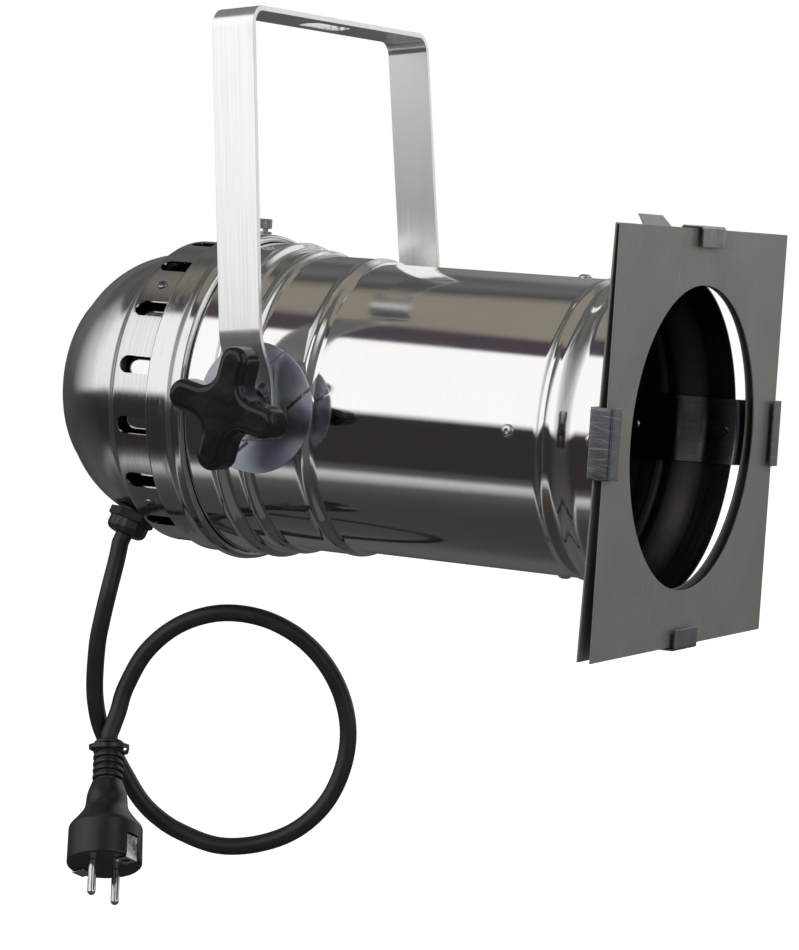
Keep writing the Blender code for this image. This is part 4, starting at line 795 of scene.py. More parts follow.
def lens_glass():
    """Pressed lens: clear glass with a prism pattern on its inner face."""
    finish = Finish("lens_glass", (0.86, 0.90, 0.89), 0.0, 0.06)
    finish.set(Transmission_Weight=0.85, IOR=1.5)
    finish.gloss(finish.grain(90, 4.0, 0.45, 0.75), 0.12, 0.05)
    ribs = []
    for axis, scale in (("Y", 38.0), ("Z", 19.0)):
        feeds = {"Vector": finish.coords.outputs["Object"], "Scale": scale}
        wave = node(finish.tree, "TexWave", feeds, wave_type="BANDS", bands_direction=axis)
        ribs.append(wave.outputs["Fac"])
    return finish.bump(maths(finish.tree, "MAXIMUM", *ribs), 0.0009).material


def mirror():
    """Silvered inner and outer face of the lamp's shell."""
    finish = Finish("lamp_mirror", (0.88, 0.88, 0.88), 1.0, 0.06)
    finish.link("Roughness", finish.grain(60, 4.0, 0.4, 0.7, low=0.04, high=0.13))
    return finish.tint(finish.grain(25, high=0.3), None, (0.70, 0.71, 0.73)).material


def sleeve_metal():
    """Vent baffle: bright rolled sheet with a light grain round the can."""
    finish = Finish("sleeve_bright", (0.86, 0.86, 0.86), 1.0, 0.1)
    finish.gloss(finish.grain((900, 8, 8), 2.0, 0.3, 0.7), 0.08, 0.06)
    return finish.tint(finish.grain(30, 4.0, high=0.4), None, (0.70, 0.70, 0.69)).material


def dull_solid(name, colour, low, high, scale=300, depth=0.00003):
    """Ceramic, sleeving or insulation: mottled colour and a soft grain."""
    finish = Finish(name, colour, 0.0, low)
    fine = finish.grain(scale, 4.0, 0.3, 0.7)
    finish.gloss(fine, high - low, low)
    finish.tint(finish.grain(70, 4.0, high=0.6), None, tuple(c * 0.78 for c in colour))
    return finish.bump(fine, depth).material


POLISHED = polished()
SHADED_INSIDE = painted_shade_inside()
SATIN = satin()
RING = ring_metal()
YOKE = yoke_metal()
FRAME = frame_coat()
ZINC = zinc_plate()
BLUE = blue_zinc()
KNOB = knob_plastic()
GLAND = moulded_black("gland_plastic", 0.28, 0.42)
RUBBER = moulded_black("rubber", 0.34, 0.52, (0.014, 0.012, 0.016))
PLUG = moulded_black("plug_rubber", 0.26, 0.42, (0.011, 0.009, 0.012))
TIE = moulded_black("tie_nylon", 0.22, 0.36)
STEEL = plain_metal("steel", (0.50, 0.49, 0.48), 0.2, 0.36)
RIVET = plain_metal("rivet_aluminium", (0.72, 0.71, 0.70), 0.16, 0.3)
BRASS = plain_metal("brass", (0.74, 0.55, 0.27), 0.22, 0.36)
NICKEL = plain_metal("nickel", (0.70, 0.68, 0.65), 0.08, 0.16)
LENS = lens_glass()
MIRROR = mirror()
SLEEVE = sleeve_metal()
CERAMIC = dull_solid("ceramic", (0.82, 0.80, 0.74), 0.4, 0.55)
WHITE_SLEEVING = dull_solid("white_sleeving", (0.75, 0.74, 0.70), 0.5, 0.7, 900, 0.00008)
GREEN = dull_solid("green_insulation", (0.10, 0.35, 0.10), 0.4, 0.5)


# Camera and the mains lead come first

def make_camera():
    """Camera at the photograph's place and angle."""
    camera = placed("camera", bpy.data.cameras.new("camera"))
    camera.data.lens = CAMERA_LENS
    camera.data.sensor_width = 36.0
    camera.data.clip_end = 40.0
    turn, lift = CAMERA_AZIMUTH, CAMERA_ELEVATION
    back = Vector((math.cos(lift) * math.sin(turn), -math.cos(lift) * math.cos(turn), math.sin(lift)))
    level = Vector((math.cos(turn), math.sin(turn), 0))
    upright = back.cross(level)
    right = math.cos(CAMERA_ROLL) * level + math.sin(CAMERA_ROLL) * upright
    up = back.cross(right)
    camera.matrix_world = Matrix.Translation(CAMERA_PLACE) @ axes_to(right, up, back)
    bpy.context.scene.camera = camera


def smooth_route(knots, step):
    """Even points along a smooth curve through the knots, about a step apart."""
    fine = []
    padded = [2 * knots[0] - knots[1]] + list(knots) + [2 * knots[-1] - knots[-2]]
    for a, b, c, d in zip(padded, padded[1:], padded[2:], padded[3:]):
        for index in range(12):
            t = index / 12
            fine.append(0.5 * (2 * b + (c - a) * t + (2 * a - 5 * b + 4 * c - d) * t**2
                               + (3 * b - a - 3 * c + d) * t**3))
    fine.append(knots[-1])
    lengths = [(q - p).length for p, q in zip(fine, fine[1:])]
    count = round(sum(lengths) / step)
    even = [fine[0]]
    walked = 0.0
    target = sum(lengths) / count
    for start, end, length in zip(fine, fine[1:], lengths):
        while walked + length > target * len(even) and len(even) < count:
            even.append(start.lerp(end, (target * len(even) - walked) / length))
        walked += length
    return even + [fine[-1]]


def cord_frame():
    """Directions that the lead's route is laid out in: along, up and out of its plane."""
    along = Vector((math.cos(VIEW_TURN), math.sin(VIEW_TURN), 0))
    out = Vector((math.sin(VIEW_TURN), -math.cos(VIEW_TURN), 0))
    return along, Vector((0, 0, 1)), out


def route_point(place, exit_point):
    """World place of one point of the lead's route."""
    along, up, out = cord_frame()
    return exit_point + (along * place[0] + up * place[1] + out * place[2]) * MM


def plug_placement(exit_point, lean=PLUG_LEAN):
    """Placement at the lead's end: local Z up along the plug, local X along its pins."""
    along, up, out = cord_frame()
    sway = Matrix.Rotation(-PLUG_SWAY, 3, out)
    axis = sway @ (up * math.cos(lean) - out * math.sin(lean))
    toward = out * math.cos(lean) + up * math.sin(lean)
    pins = sway @ (along * math.cos(PLUG_TURN) + toward * math.sin(PLUG_TURN))
    side = axis.cross(pins)
    return Matrix.Translation(route_point(CORD_END, exit_point)) @ axes_to(pins, side, axis)


def gland_placement():
    """Placement on the cap's dome whose local Z points square out of it."""
    radius = DOME_OFFSET + math.sqrt(DOME_RADIUS**2 - (GLAND_X - DOME_X) ** 2)
    lean = math.asin((GLAND_X - DOME_X) / DOME_RADIUS)
    turn = Matrix.Rotation(math.pi / 2 + GLAND_ANGLE, 4, "X")
    return turn @ Matrix.Translation((GLAND_X, 0, radius)) @ Matrix.Rotation(lean, 4, "Y")


def make_plug(plug):
    """Plug pieces: strain relief, body, pins and earth contacts."""
    pitch = RELIEF_LENGTH / RELIEF_RIBS
    groove = RELIEF_RADIUS - RELIEF_GROOVE
    profile = []
    for index in range(RELIEF_RIBS):
        low = -RELIEF_LENGTH + pitch * index
        profile += [(low, groove), (low + pitch * 0.3, groove), (low + pitch * 0.4, RELIEF_RADIUS),
                    (low + pitch * 0.92, RELIEF_RADIUS)]
    profile.append((0.0, groove))
    relief = show("strain_relief", solid_of_revolution(rounded(profile, 0.5 * MM, 3), 48),
                  "rear_housing", PLUG, ["plug_strain_relief"], plug, 50)

    top = -RELIEF_LENGTH - GAP
    face = top - PLUG_HEIGHT
    shoulder = face + PLUG_SKIRT + PLUG_SHOULDER
    outer = [
        (face, PLUG_RADIUS - 1 * MM),
        (face + 1 * MM, PLUG_RADIUS),
        (face + PLUG_SKIRT * 0.93, PLUG_RADIUS * 0.985),
        (face + PLUG_SKIRT, PLUG_RADIUS * 0.95),
        (face + PLUG_SKIRT + PLUG_SHOULDER * 0.45, PLUG_RADIUS * 0.76),
        (shoulder, PLUG_NECK_RADIUS * 1.06),
        (top - PLUG_NECK, PLUG_NECK_RADIUS),
        (top, RELIEF_RADIUS),
    ]
    body = show("plug", solid_of_revolution(rounded(outer, PLUG_CORNER, 5), 96),
                "rear_housing", PLUG, ["plug_body"], plug, 60)
    notch = EARTH_CLIP_WIDTH / 2 + GAP
    sheet = EARTH_SHEET + 2 * GAP
    pockets = []
    for side in (-1, 1):
        near = side * (PLUG_RADIUS - EARTH_CLIP_SINK - sheet)
        far = side * (PLUG_RADIUS + 2 * MM)
        low = (-notch, min(near, far), face - 1 * MM)
        high = (notch, max(near, far), face + EARTH_CLIP_LENGTH + 1 * MM)
        pockets.append(block(low, high))
    cut(body, merged(pockets))

    end = face - GAP - PIN_LENGTH
    nose = [(end + PIN_RADIUS * (1 - math.sin(a / 10)), PIN_RADIUS * math.cos(a / 10))
            for a in range(15, -1, -1)]
    pieces = [relief, body]
    for index, side in enumerate((-1, 1), 1):
        pin = solid_of_revolution(nose + [(face - GAP, PIN_RADIUS)], 32)
        place = plug @ Matrix.Translation((side * PIN_SPACING / 2, 0, 0))
        pieces.append(show(f"pin_{index}", pin, "rear_housing", NICKEL,
                           [f"plug_pin_{index}"], place))

    half = EARTH_CLIP_WIDTH / 2
    inner = PLUG_RADIUS - EARTH_CLIP_SINK - GAP
    tongue = inner - EARTH_TONGUE
    path = [(face + EARTH_CLIP_LENGTH, inner), (face - GAP, inner), (face - GAP, tongue)]
    outline = path + offset_path(path, EARTH_SHEET)[::-1]
    tall = axes_to((0, 0, 1), (0, 1, 0), (1, 0, 0))
    for index, turn in enumerate((0, math.pi), 1):
        strip = prism(outline, -half, half, tall)
        place = plug @ Matrix.Rotation(turn, 4, "Z")
        contact = show(f"earth_contact_{index}", strip, "rear_housing", NICKEL,
                       [f"plug_earth_contact_{index}"], place)
        if index == 2:
            cut(contact, prism(circle(EARTH_HOLE_RADIUS, 32), face - 3 * MM, face + 1 * MM,
                               Matrix.Translation((0, tongue + EARTH_HOLE_RADIUS + EARTH_HOLE_MARGIN, 0))))
        soften(contact, 0.15 * MM)
        pieces.append(contact)
    return pieces


def make_tie(exit_point, points):
    """Cable tie round the strain relief and the strand behind it."""
    level = -TIE_DROP
    place = plug_placement(exit_point, TIE_LEAN)
    to_tie = place.inverted()
    hanging = [to_tie @ point for point in points[: len(points) // 2]]
    strand = None
    for a, b in zip(hanging, hanging[1:]):
        if (a.z - level) * (b.z - level) <= 0:
            strand = a.lerp(b, (level - a.z) / (b.z - a.z))
    centres = [Vector((0, 0)), strand.to_2d()]
    reach = [RELIEF_RADIUS + TIE_SLACK, TIE_FIT * CORD_RADIUS + GAP]
    across = (centres[1] - centres[0]).length
    lean = math.acos((reach[0] - reach[1]) / across)
    heading = math.atan2(centres[1].y - centres[0].y, centres[1].x - centres[0].x)
    loops = []
    for extra in (0.0, TIE_THICKNESS):
        loop = arc(centres[0], reach[0] + extra, math.degrees(heading + lean),
                   math.degrees(heading + 2 * math.pi - lean), 40)
        loop += arc(centres[1], reach[1] + extra, math.degrees(heading - lean),
                    math.degrees(heading + lean), 24)
        loops.append(loop)
    inner, outer = loops
    low = level - TIE_WIDTH / 2
    high = level + TIE_WIDTH / 2
    layers = stacked(((low, inner), (low, outer), (high, outer), (high, inner)))
    tie = show("cord_tie_band", rings(layers, capped=False), "rear_housing", TIE,
               ["cord_tie"], place)
    soften(tie, 0.2 * MM)
    return tie


def make_cord():
    """The mains lead on its route, and what it carries."""
    mouth = CAN @ gland_placement()
    nut_high = GLAND_LIFT + GLAND_HEX_HEIGHT + GAP + GLAND_NUT_HEIGHT
    exit_point = mouth @ Vector((0, 0, nut_high))
    direction = mouth.to_3x3() @ Vector((0, 0, 1))
    plug = plug_placement(exit_point)
    axis = plug.to_3x3() @ Vector((0, 0, 1))
    start = exit_point + direction * GAP
    end = plug.translation + axis * GAP
    knots = [start + direction * CORD_RADIUS]
    knots += [route_point(place, exit_point) for place in CORD_ROUTE]
    knots += [end + axis * CORD_RADIUS]
    points = [start] + smooth_route(knots, CORD_STEP) + [end]
    curve = bpy.data.curves.new("lead", "CURVE")
    curve.dimensions = "3D"
    curve.bevel_depth = CORD_RADIUS
    curve.bevel_resolution = 8
    curve.use_fill_caps = True
    spline = curve.splines.new("POLY")
    spline.points.add(len(points) - 1)
    for knot, place in zip(spline.points, points):
        knot.co = (*place, 1.0)
    curve.materials.append(RUBBER)
    cord = placed("lead", curve)
    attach(cord, "rear_housing")
    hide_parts("mains_cord")
    pieces = make_plug(plug)
    pieces.append(make_tie(exit_point, points))


# The lantern's pieces

def make_yoke():
    """Flat strip bent to a stirrup, with round edges, a hanging slot and foot holes."""
    lean = math.atan2(YOKE_WAIST_HALF - YOKE_TOP_HALF, YOKE_DROP - JOGGLE_TOP)
    bend = (YOKE_TOP_HALF - YOKE_BEND_RADIUS, -YOKE_BEND_RADIUS)
    foot = [
        (FOOT_OUTER_FACE, -YOKE_DROP - FOOT_BELOW_PIVOT),
        (FOOT_OUTER_FACE, -YOKE_DROP + JOGGLE_FOOT),
        (YOKE_WAIST_HALF, -YOKE_DROP + JOGGLE_TOP),
    ]
    corner = arc(bend, YOKE_BEND_RADIUS, math.degrees(lean), 90, 16)
    left = rounded(foot + corner[:1], YOKE_JOGGLE_BEND, 6) + corner[1:]
    right = [(-y, z) for y, z in reversed(left)]
    outer = left + right
    outline = outer + offset_path(outer, -YOKE_THICKNESS)[::-1]
    upright = axes_to((0, 1, 0), (0, 0, 1), (1, 0, 0))
    body = prism(outline, -YOKE_WIDTH / 2, YOKE_WIDTH / 2, upright)
    yoke = show("yoke_strip", body, "yoke", YOKE, ["yoke"], Matrix())
    sideways = Matrix.Rotation(math.pi / 2, 4, "X")
    reach = 1.2 * FOOT_OUTER_FACE
    holes = [prism(stadium(HANG_SLOT_LENGTH, HANG_SLOT_WIDTH), -2 * YOKE_THICKNESS, YOKE_THICKNESS)]
    hole = prism(circle(FOOT_HOLE_RADIUS, 40), -reach, reach, sideways)
    hole.transform(Matrix.Translation((FOOT_HOLE_FORWARD, 0, FOOT_HOLE_UP - YOKE_DROP)))
    pin = prism(circle(STUD_RADIUS + GAP, 32), -reach, reach, sideways)
    pin.transform(Matrix.Translation((0, 0, -YOKE_DROP)))
    cut(yoke, merged(holes + [hole, pin]))
    soften(yoke, YOKE_EDGE, 3)


def barrel_path():
    """Outer face of the barrel from its rear spigot to its front rim."""
    path = [
        (SPIGOT_REAR, SPIGOT_RADIUS),
        (SEAT_BEAD_X - SEAT_BEAD_HALF, SPIGOT_RADIUS),
        (SEAT_BEAD_X, SPIGOT_RADIUS + SEAT_BEAD_RISE),
        (SEAT_BEAD_X + SEAT_BEAD_HALF, STEP_RADIUS),
        (BELT_BEAD_X - BELT_BEAD_HALF, STEP_RADIUS),
        (BELT_BEAD_X, STEP_RADIUS + BELT_BEAD_RISE),
        (BELT_BEAD_X + BELT_BEAD_HALF, BELT_RADIUS),
        (BELT_FRONT, BELT_RADIUS),
        (BELT_RIDGE_X, BELT_RADIUS + BELT_RIDGE_RISE),
        (NOSE_REAR, NOSE_RADIUS),
        (NOSE_BEAD_X - NOSE_BEAD_HALF, NOSE_RADIUS),
        (NOSE_BEAD_X, NOSE_RADIUS + NOSE_BEAD_RISE),
        (FLARE_REAR, NOSE_RADIUS),
    ]
    path = rounded(path, BARREL_CORNER, 5)
    path += ease((FLARE_REAR, NOSE_RADIUS), (FLARE_FRONT, RIM_RADIUS), 14)
    return path + [(FLARE_FRONT, RIM_RADIUS), (RIM_X, RIM_RADIUS)]


def make_barrel():
    """Spun barrel, polished outside and raw inside."""
    outer = barrel_path()
    profile = outer + offset_path(outer, BARREL_WALL)[::-1]
    bm = turned(profile, SHELL_SEGMENTS, closed=True, inner_from=len(outer), along_can=True)
    show("barrel_shell", bm, "can", [POLISHED, SHADED_INSIDE], ["barrel"], sharp=50)


def make_rivets():
    """Two rivets for each clip."""
    for row, x, wall in (("rear", RIVET_REAR_X, NOSE_RADIUS), ("front", RIVET_FRONT_X, RIM_RADIUS)):
        head = wall + GAP
        tail = wall - BARREL_WALL - CLIP_SEAT_GAP - CLIP_SHEET - GAP
        dome = arc((0, 0), 1.0, 0, 66, 8)
        profile = [
            (tail - RIVET_TAIL, RIVET_TAIL_RADIUS * 0.8),
            (tail, RIVET_TAIL_RADIUS),
            (tail, RIVET_RADIUS),
            (head - 0.25 * MM, RIVET_RADIUS),
            (head - 0.25 * MM, RIVET_HEAD_RADIUS),
        ]
        profile += [(head + RIVET_HEAD * s, RIVET_HEAD_RADIUS * c) for c, s in dome]
        profile.append((head + 0.2 * MM, RIVET_HEAD_RADIUS * 0.34))
        for side, angle in SIDES.items():
            show(f"rivet_{side}_{row}", solid_of_revolution(profile, 32), "can",
                 RIVET, [f"clip_rivet_{side}_{row}"], CAN @ around_axis(angle, x))


def make_clip(side):
    """Clip bent from strip: curved to the barrel's wall inside, flat outside."""
    width = SIDE_CLIP_WIDTH if side in ("right", "left") else END_CLIP_WIDTH
    seat = BARREL_WALL + CLIP_SEAT_GAP
    web = WEB_INNER + CLIP_SHEET
    outer = [(CLIP_STRAP_REAR, NOSE_RADIUS - seat), (FLARE_REAR, NOSE_RADIUS - seat)]
    outer += ease((FLARE_REAR, NOSE_RADIUS - seat), (FLARE_FRONT, RIM_RADIUS - seat), 6)
    outer += [(FLARE_FRONT, RIM_RADIUS - seat), (RIM_X + GAP, RIM_RADIUS - seat)]
    bends = [
        (RIM_X + GAP, RIM_RADIUS - seat),
        (CLIP_TURN_X, RIM_RADIUS + CLIP_SHEET),
        (CLIP_TURN_X, web),
        (CLIP_FRONT_X, web),
        (CLIP_FRONT_X, web - CLIP_LIP_LENGTH),
    ]
    outer += rounded(bends, CLIP_BEND, 4)[1:]
    inner = offset_path(outer, CLIP_SHEET)
    count = 16
    columns = [width * (0.5 - k / count) for k in range(count + 1)]
    bm = bmesh.new()
    grid = []
    for face in (outer, inner):
        rows = []
        for along, out in face:
            flat = min(max((along - RIM_X) / (CLIP_TURN_X - RIM_X), 0.0), 1.0)
            sag = [(out - math.sqrt(out**2 - y**2)) * (1 - flat) for y in columns]
            rows.append([bm.verts.new((along, y, out - s)) for y, s in zip(columns, sag)])
        grid.append(rows)
    top, bottom = grid
    for row in (len(top) - 1, 0):
        for k in range(count):
            bm.faces.new((top[row][k], bottom[row][k], bottom[row][k + 1], top[row][k + 1]))
    for near, far in zip(range(len(top)), range(1, len(top))):
        for k in (0, count):
            bm.faces.new((top[near][k], top[far][k], bottom[far][k], bottom[near][k]))
        for k in range(count):
            bm.faces.new((top[near][k], top[near][k + 1], top[far][k + 1], top[far][k]))
            bm.faces.new((bottom[near][k], bottom[far][k], bottom[far][k + 1], bottom[near][k + 1]))
    clip = show(f"clip_{side}", bm, "can", ZINC, [f"frame_clip_{side}"],
                CAN @ around_axis(SIDES[side]))
    soften(clip, 0.2 * MM, 2, 60)


def make_ring():
    """Ring with a rolled bead."""
    bead = RING_BAND_FRONT + RING_BEAD_LENGTH / 2
    crest = RING_RADIUS + RING_BEAD_RISE
    path = [
        (RING_REAR, CAP_BAND_RADIUS + GAP),
        (RING_REAR, RING_RADIUS),
        (RING_BAND_FRONT, RING_RADIUS),
        (bead - RING_BEAD_LENGTH * 0.1, crest - RING_BEAD_RISE * 0.12),
        (bead + RING_BEAD_LENGTH * 0.12, crest),
        (RING_FRONT - RING_WALL * 1.6, crest - RING_BEAD_RISE * 0.2),
        (RING_FRONT, RING_RADIUS + RING_WALL),
        (RING_FRONT, RING_INNER),
    ]
    path = rounded(path, RING_CORNER, 5)
    profile = path + offset_path(path, RING_WALL)[::-1]
    show("coupling_ring", turned(profile, SHELL_SEGMENTS, closed=True, along_can=True),
         "rear_housing", RING, ["lamp_housing_ring"], sharp=50)


def make_cap():
    """Domed rear cap with its vent slots."""
    corner = (CAP_END + CAP_CORNER_RADIUS, CAP_DISC_RADIUS)
    path = [(CAP_END, 0.0), (CAP_END, CAP_DISC_RADIUS * 0.5)]
    path += arc(corner, CAP_CORNER_RADIUS, 180, 127, 8)
    path += arc((DOME_X, DOME_OFFSET), DOME_RADIUS, 138, 90.7, 20)
    shoulder = (SHOULDER_REAR, DOME_OFFSET + DOME_RADIUS)
    path += ease(shoulder, (SHOULDER_FRONT, CAP_BAND_RADIUS), 10)
    front = RING_REAR + RING_WALL + GAP
    band = [SHOULDER_FRONT + (front - SHOULDER_FRONT) * k / 6 for k in range(7)]
    path += [(x, CAP_BAND_RADIUS) for x in band]
    path += [(front, RING_INNER - GAP)]
    inner = offset_path(path, CAP_WALL)
    inner[0] = (CAP_END + CAP_WALL, 0.0)
    profile = path + inner[::-1]
    bm = turned(profile, SHELL_SEGMENTS, inner_from=len(path), along_can=True)
    cap = show("cap", bm, "rear_housing", [SATIN, SHADED_INSIDE], ["rear_cap"], sharp=50)
    half = VENT_WIDTH / 2
    outline = [(RING_REAR + GAP, -half), (RING_REAR + GAP, half)]
    outline += arc((VENT_REAR + half, 0), half, 90, 270, 14)
    vents = []
    for index in range(VENT_COUNT):
        vents.append(prism(outline, CAP_BAND_RADIUS - 3 * CAP_WALL, CAP_BAND_RADIUS + 2 * CAP_WALL,
                           around_axis(360 * (index + 0.5) / VENT_COUNT)))
    cut(cap, merged(vents))


def make_baffle():
    """Bright sleeve behind the vents and its four screws."""
    inside = BAFFLE_RADIUS - BAFFLE_WALL
    profile = [(BAFFLE_REAR, BAFFLE_RADIUS), (BAFFLE_FRONT, BAFFLE_RADIUS),
               (BAFFLE_FRONT, inside), (BAFFLE_REAR, inside)]
    bm = turned(profile, SHELL_SEGMENTS, closed=True, along_can=True)
    show("vent_sleeve", bm, "rear_housing", SLEEVE, ["vent_baffle"])
    head = CAP_BAND_RADIUS + GAP * 0.4
    dome = arc((0, 0), 1.0, 25, 85, 6)
    profile = [(BAFFLE_RADIUS, BAFFLE_SCREW_RADIUS), (head, BAFFLE_SCREW_RADIUS),
               (head, BAFFLE_SCREW_HEAD_RADIUS)]
    profile += [(head + BAFFLE_SCREW_HEAD * s, BAFFLE_SCREW_HEAD_RADIUS * c) for c, s in dome]
    for index, angle in enumerate(BAFFLE_SCREW_ANGLES, 1):
        place = CAN @ around_axis(angle, BAFFLE_SCREW_X)
        screw = show(f"vent_screw_{index}", solid_of_revolution(profile, 32), "rear_housing",
                     ZINC, [f"baffle_screw_{index}"], place)
        for x, y in ((CROSS_REACH, CROSS_HALF), (CROSS_HALF, CROSS_REACH)):
            cut(screw, block((-x, -y, head + CROSS_FLOOR), (x, y, head + 3 * MM)))


def make_lock():
    """Lug on the ring and the knurled lock screw."""
    lug_low = RING_RADIUS + RING_BEAD_RISE + GAP
    lug_high = lug_low + LOCK_LUG_HEIGHT
    bore = LOCK_SCREW_RADIUS + GAP
    place = CAN @ around_axis(0, LOCK_X)
    profile = [
        (RING_INNER + 0.1 * MM, LOCK_NECK_RADIUS),
        (lug_low - 0.3 * MM, LOCK_NECK_RADIUS),
        (lug_low - 0.3 * MM, LOCK_LUG_RADIUS),
        (lug_high - 0.3 * MM, LOCK_LUG_RADIUS),
        (lug_high, LOCK_LUG_RADIUS - 0.3 * MM),
        (lug_high, bore),
        (RING_INNER + 0.1 * MM, bore),
    ]
    show("ring_lug", turned(profile, 40, closed=True), "rear_housing", STEEL,
         ["lock_lug"], place)
    head_low = lug_high + LOCK_HEAD_LIFT
    head_high = head_low + LOCK_HEAD_HEIGHT
    shank = circle(LOCK_SCREW_RADIUS, 4 * LOCK_FLUTES)
    head = []
    for index, (x, y) in enumerate(circle(LOCK_HEAD_RADIUS, 4 * LOCK_FLUTES)):
        share = (1.0, 0.97, 0.9, 0.97)[index % 4]
        head.append((x * share, y * share))
    edge = 0.4 * MM
    stack = [(SPIGOT_RADIUS + GAP, shank, 1.0), (head_low, shank, 1.0), (head_low, head, 0.88),
             (head_low + edge, head, 1.0), (head_high - edge, head, 1.0), (head_high, head, 0.88)]
    layers = [[(x * size, y * size, z) for x, y in outline] for z, outline, size in stack]
    show("lock_screw_head", rings(layers), "lock_screw", STEEL, ["lock_screw"], place)


def knob_outline():
    """Four round lobes joined by hollow fillets."""
    quarter = arc((KNOB_REACH - KNOB_LOBE_HALF, 0), KNOB_LOBE_HALF, -90, 90, 20)
    corner = KNOB_LOBE_HALF + KNOB_VALLEY_FILLET
    quarter += arc((corner, corner), KNOB_VALLEY_FILLET, 270, 180, 12)[1:-1]
    outline = []
    for turn in range(4):
        spin = Matrix.Rotation(math.pi / 2 * turn + KNOB_TURN, 2)
        outline += [tuple(spin @ Vector(point)) for point in quarter]
    return outline


def make_knob(side, place):
    """Lobed hand knob with eased edges."""
    outline = knob_outline()
    boss = [tuple(Vector(point).normalized() * KNOB_BOSS_RADIUS) for point in outline]
    back = KNOB_FACE_START + KNOB_BOSS_LENGTH
    front = back + KNOB_LOBE_THICKNESS
    inset = offset_path(outline + outline[:2], -1.0 * MM)
    closed = outline[1:] + outline[:1]
    inward = [(Vector(a) - Vector(b)) / (1.0 * MM) for a, b in zip(inset[1:-1], closed)]
    inward = [inward[-1]] + inward[:-1]
    if (Vector(outline[0]) + inward[0] * MM).length > Vector(outline[0]).length:
        inward = [-step for step in inward]
    stack = [[(x, y, KNOB_FACE_START) for x, y in boss], [(x, y, back) for x, y in boss]]
    turns = [math.pi / 2 * k / 6 for k in range(7)]
    edges = [(1 - math.sin(a), back + KNOB_EDGE * (1 - math.cos(a))) for a in turns]
    edges += [(1 - math.cos(a), front - KNOB_EDGE * (1 - math.sin(a))) for a in turns]
    for share, level in edges:
        pull = KNOB_EDGE * share
        stack.append([(x + d.x * pull, y + d.y * pull, level) for (x, y), d in zip(outline, inward)])
    knob = show(f"hand_knob_{side}", rings(stack), f"knob_{side}", KNOB,
                [f"knob_{side}"], place, 50)
    cut(knob, prism(circle(INSERT_RADIUS + GAP, 40), KNOB_FACE_START - 1 * MM,
                    KNOB_FACE_START + GAP + INSERT_LENGTH + GAP))


def make_pivot_side(side):
    """Spacer, friction disc, washer, knob and insert of one pivot."""
    place = CAN @ around_axis(SIDES[side])
    bore = STUD_RADIUS + GAP
    spacer = collar(BELT_RADIUS + GAP, DISC_INNER_FACE - GAP, SPACER_RADIUS, bore, 48)
    show(f"pivot_spacer_{side}", spacer, "can", STEEL, [f"spacer_{side}"], place)
    disc = collar(DISC_INNER_FACE, DISC_OUTER_FACE, DISC_RADIUS, bore, 128, 0.3 * MM)
    disc = show(f"disc_{side}", disc, "can", BLUE, [f"friction_disc_{side}"], place)
    slits = []
    half = DISC_SLIT_WIDTH / 2
    for row in (-1, 1):
        for end in (-1, 1):
            near = end * DISC_SLIT_INNER
            far = end * DISC_RADIUS * 1.1
            low = row * DISC_SLIT_OFFSET - half
            high = row * DISC_SLIT_OFFSET + half
            slit = [(near, low), (far, low), (far, high), (near, high)]
            slits.append(prism(slit, DISC_INNER_FACE - 1 * MM, DISC_OUTER_FACE + 1 * MM,
                               Matrix.Rotation(DISC_SLIT_ANGLE, 4, "Z")))
    cut(disc, merged(slits))
    show(f"washer_{side}", collar(FOOT_OUTER_FACE + GAP, WASHER_OUTER_FACE, WASHER_RADIUS, bore, 48),
         "can", STEEL, [f"pivot_washer_{side}"], place)
    make_knob(side, place)
    low = KNOB_FACE_START + GAP
    show(f"insert_{side}", collar(low, low + INSERT_LENGTH, INSERT_RADIUS, bore, 40),
         f"knob_{side}", BRASS, [f"knob_insert_{side}"], place)


def make_lamp():
    """Lamp shell and its pressed lens."""
    apex = LAMP_RIM_REAR - LAMP_FOCUS_SHARE
    throat = apex + LAMP_FOCUS_SHARE * (LAMP_BASE_RADIUS / LAMP_MOUTH_RADIUS) ** 2
    steps = [LAMP_RIM_REAR + (throat - LAMP_RIM_REAR) * (k / 16) ** 0.7 for k in range(17)]
    curve = [(x, LAMP_MOUTH_RADIUS * math.sqrt((x - apex) / LAMP_FOCUS_SHARE)) for x in steps]
    outer = [(LENS_REAR - GAP, LAMP_RIM_RADIUS), (LAMP_RIM_REAR, LAMP_RIM_RADIUS)] + curve
    outer += [(LAMP_BASE_REAR, LAMP_BASE_RADIUS), (LAMP_BASE_REAR, 0.0)]
    inner = [(throat + LAMP_GLASS, 0.0)]
    inner += [(x + LAMP_GLASS, radius - LAMP_GLASS) for x, radius in reversed(curve)]
    inner += [(LENS_REAR - GAP, LAMP_MOUTH_RADIUS - LAMP_GLASS)]
    bm = turned([inner[-1]] + outer, 96, along_can=True)
    dish = turned(inner, 96, along_can=True)
    show("lamp_shell", merged([bm, dish]), "can", MIRROR, ["lamp_reflector"])
    bulge = (LAMP_MOUTH_RADIUS**2 + LENS_BULGE**2) / (2 * LENS_BULGE)
    radii = [LAMP_MOUTH_RADIUS * k / 14 for k in range(14, -1, -1)]
    front = [(LAMP_FRONT + LENS_BULGE - bulge + math.sqrt(bulge**2 - r**2), r) for r in radii]
    back = [(x - LENS_GLASS, r * 0.97) for x, r in reversed(front)]
    lens = back + [(LENS_REAR, back[-1][1]), (LENS_REAR, LAMP_RIM_RADIUS), (LAMP_FRONT, LAMP_RIM_RADIUS)]
    show("lens", turned(lens + front, 96, along_can=True), "can", LENS, ["lamp_lens"])


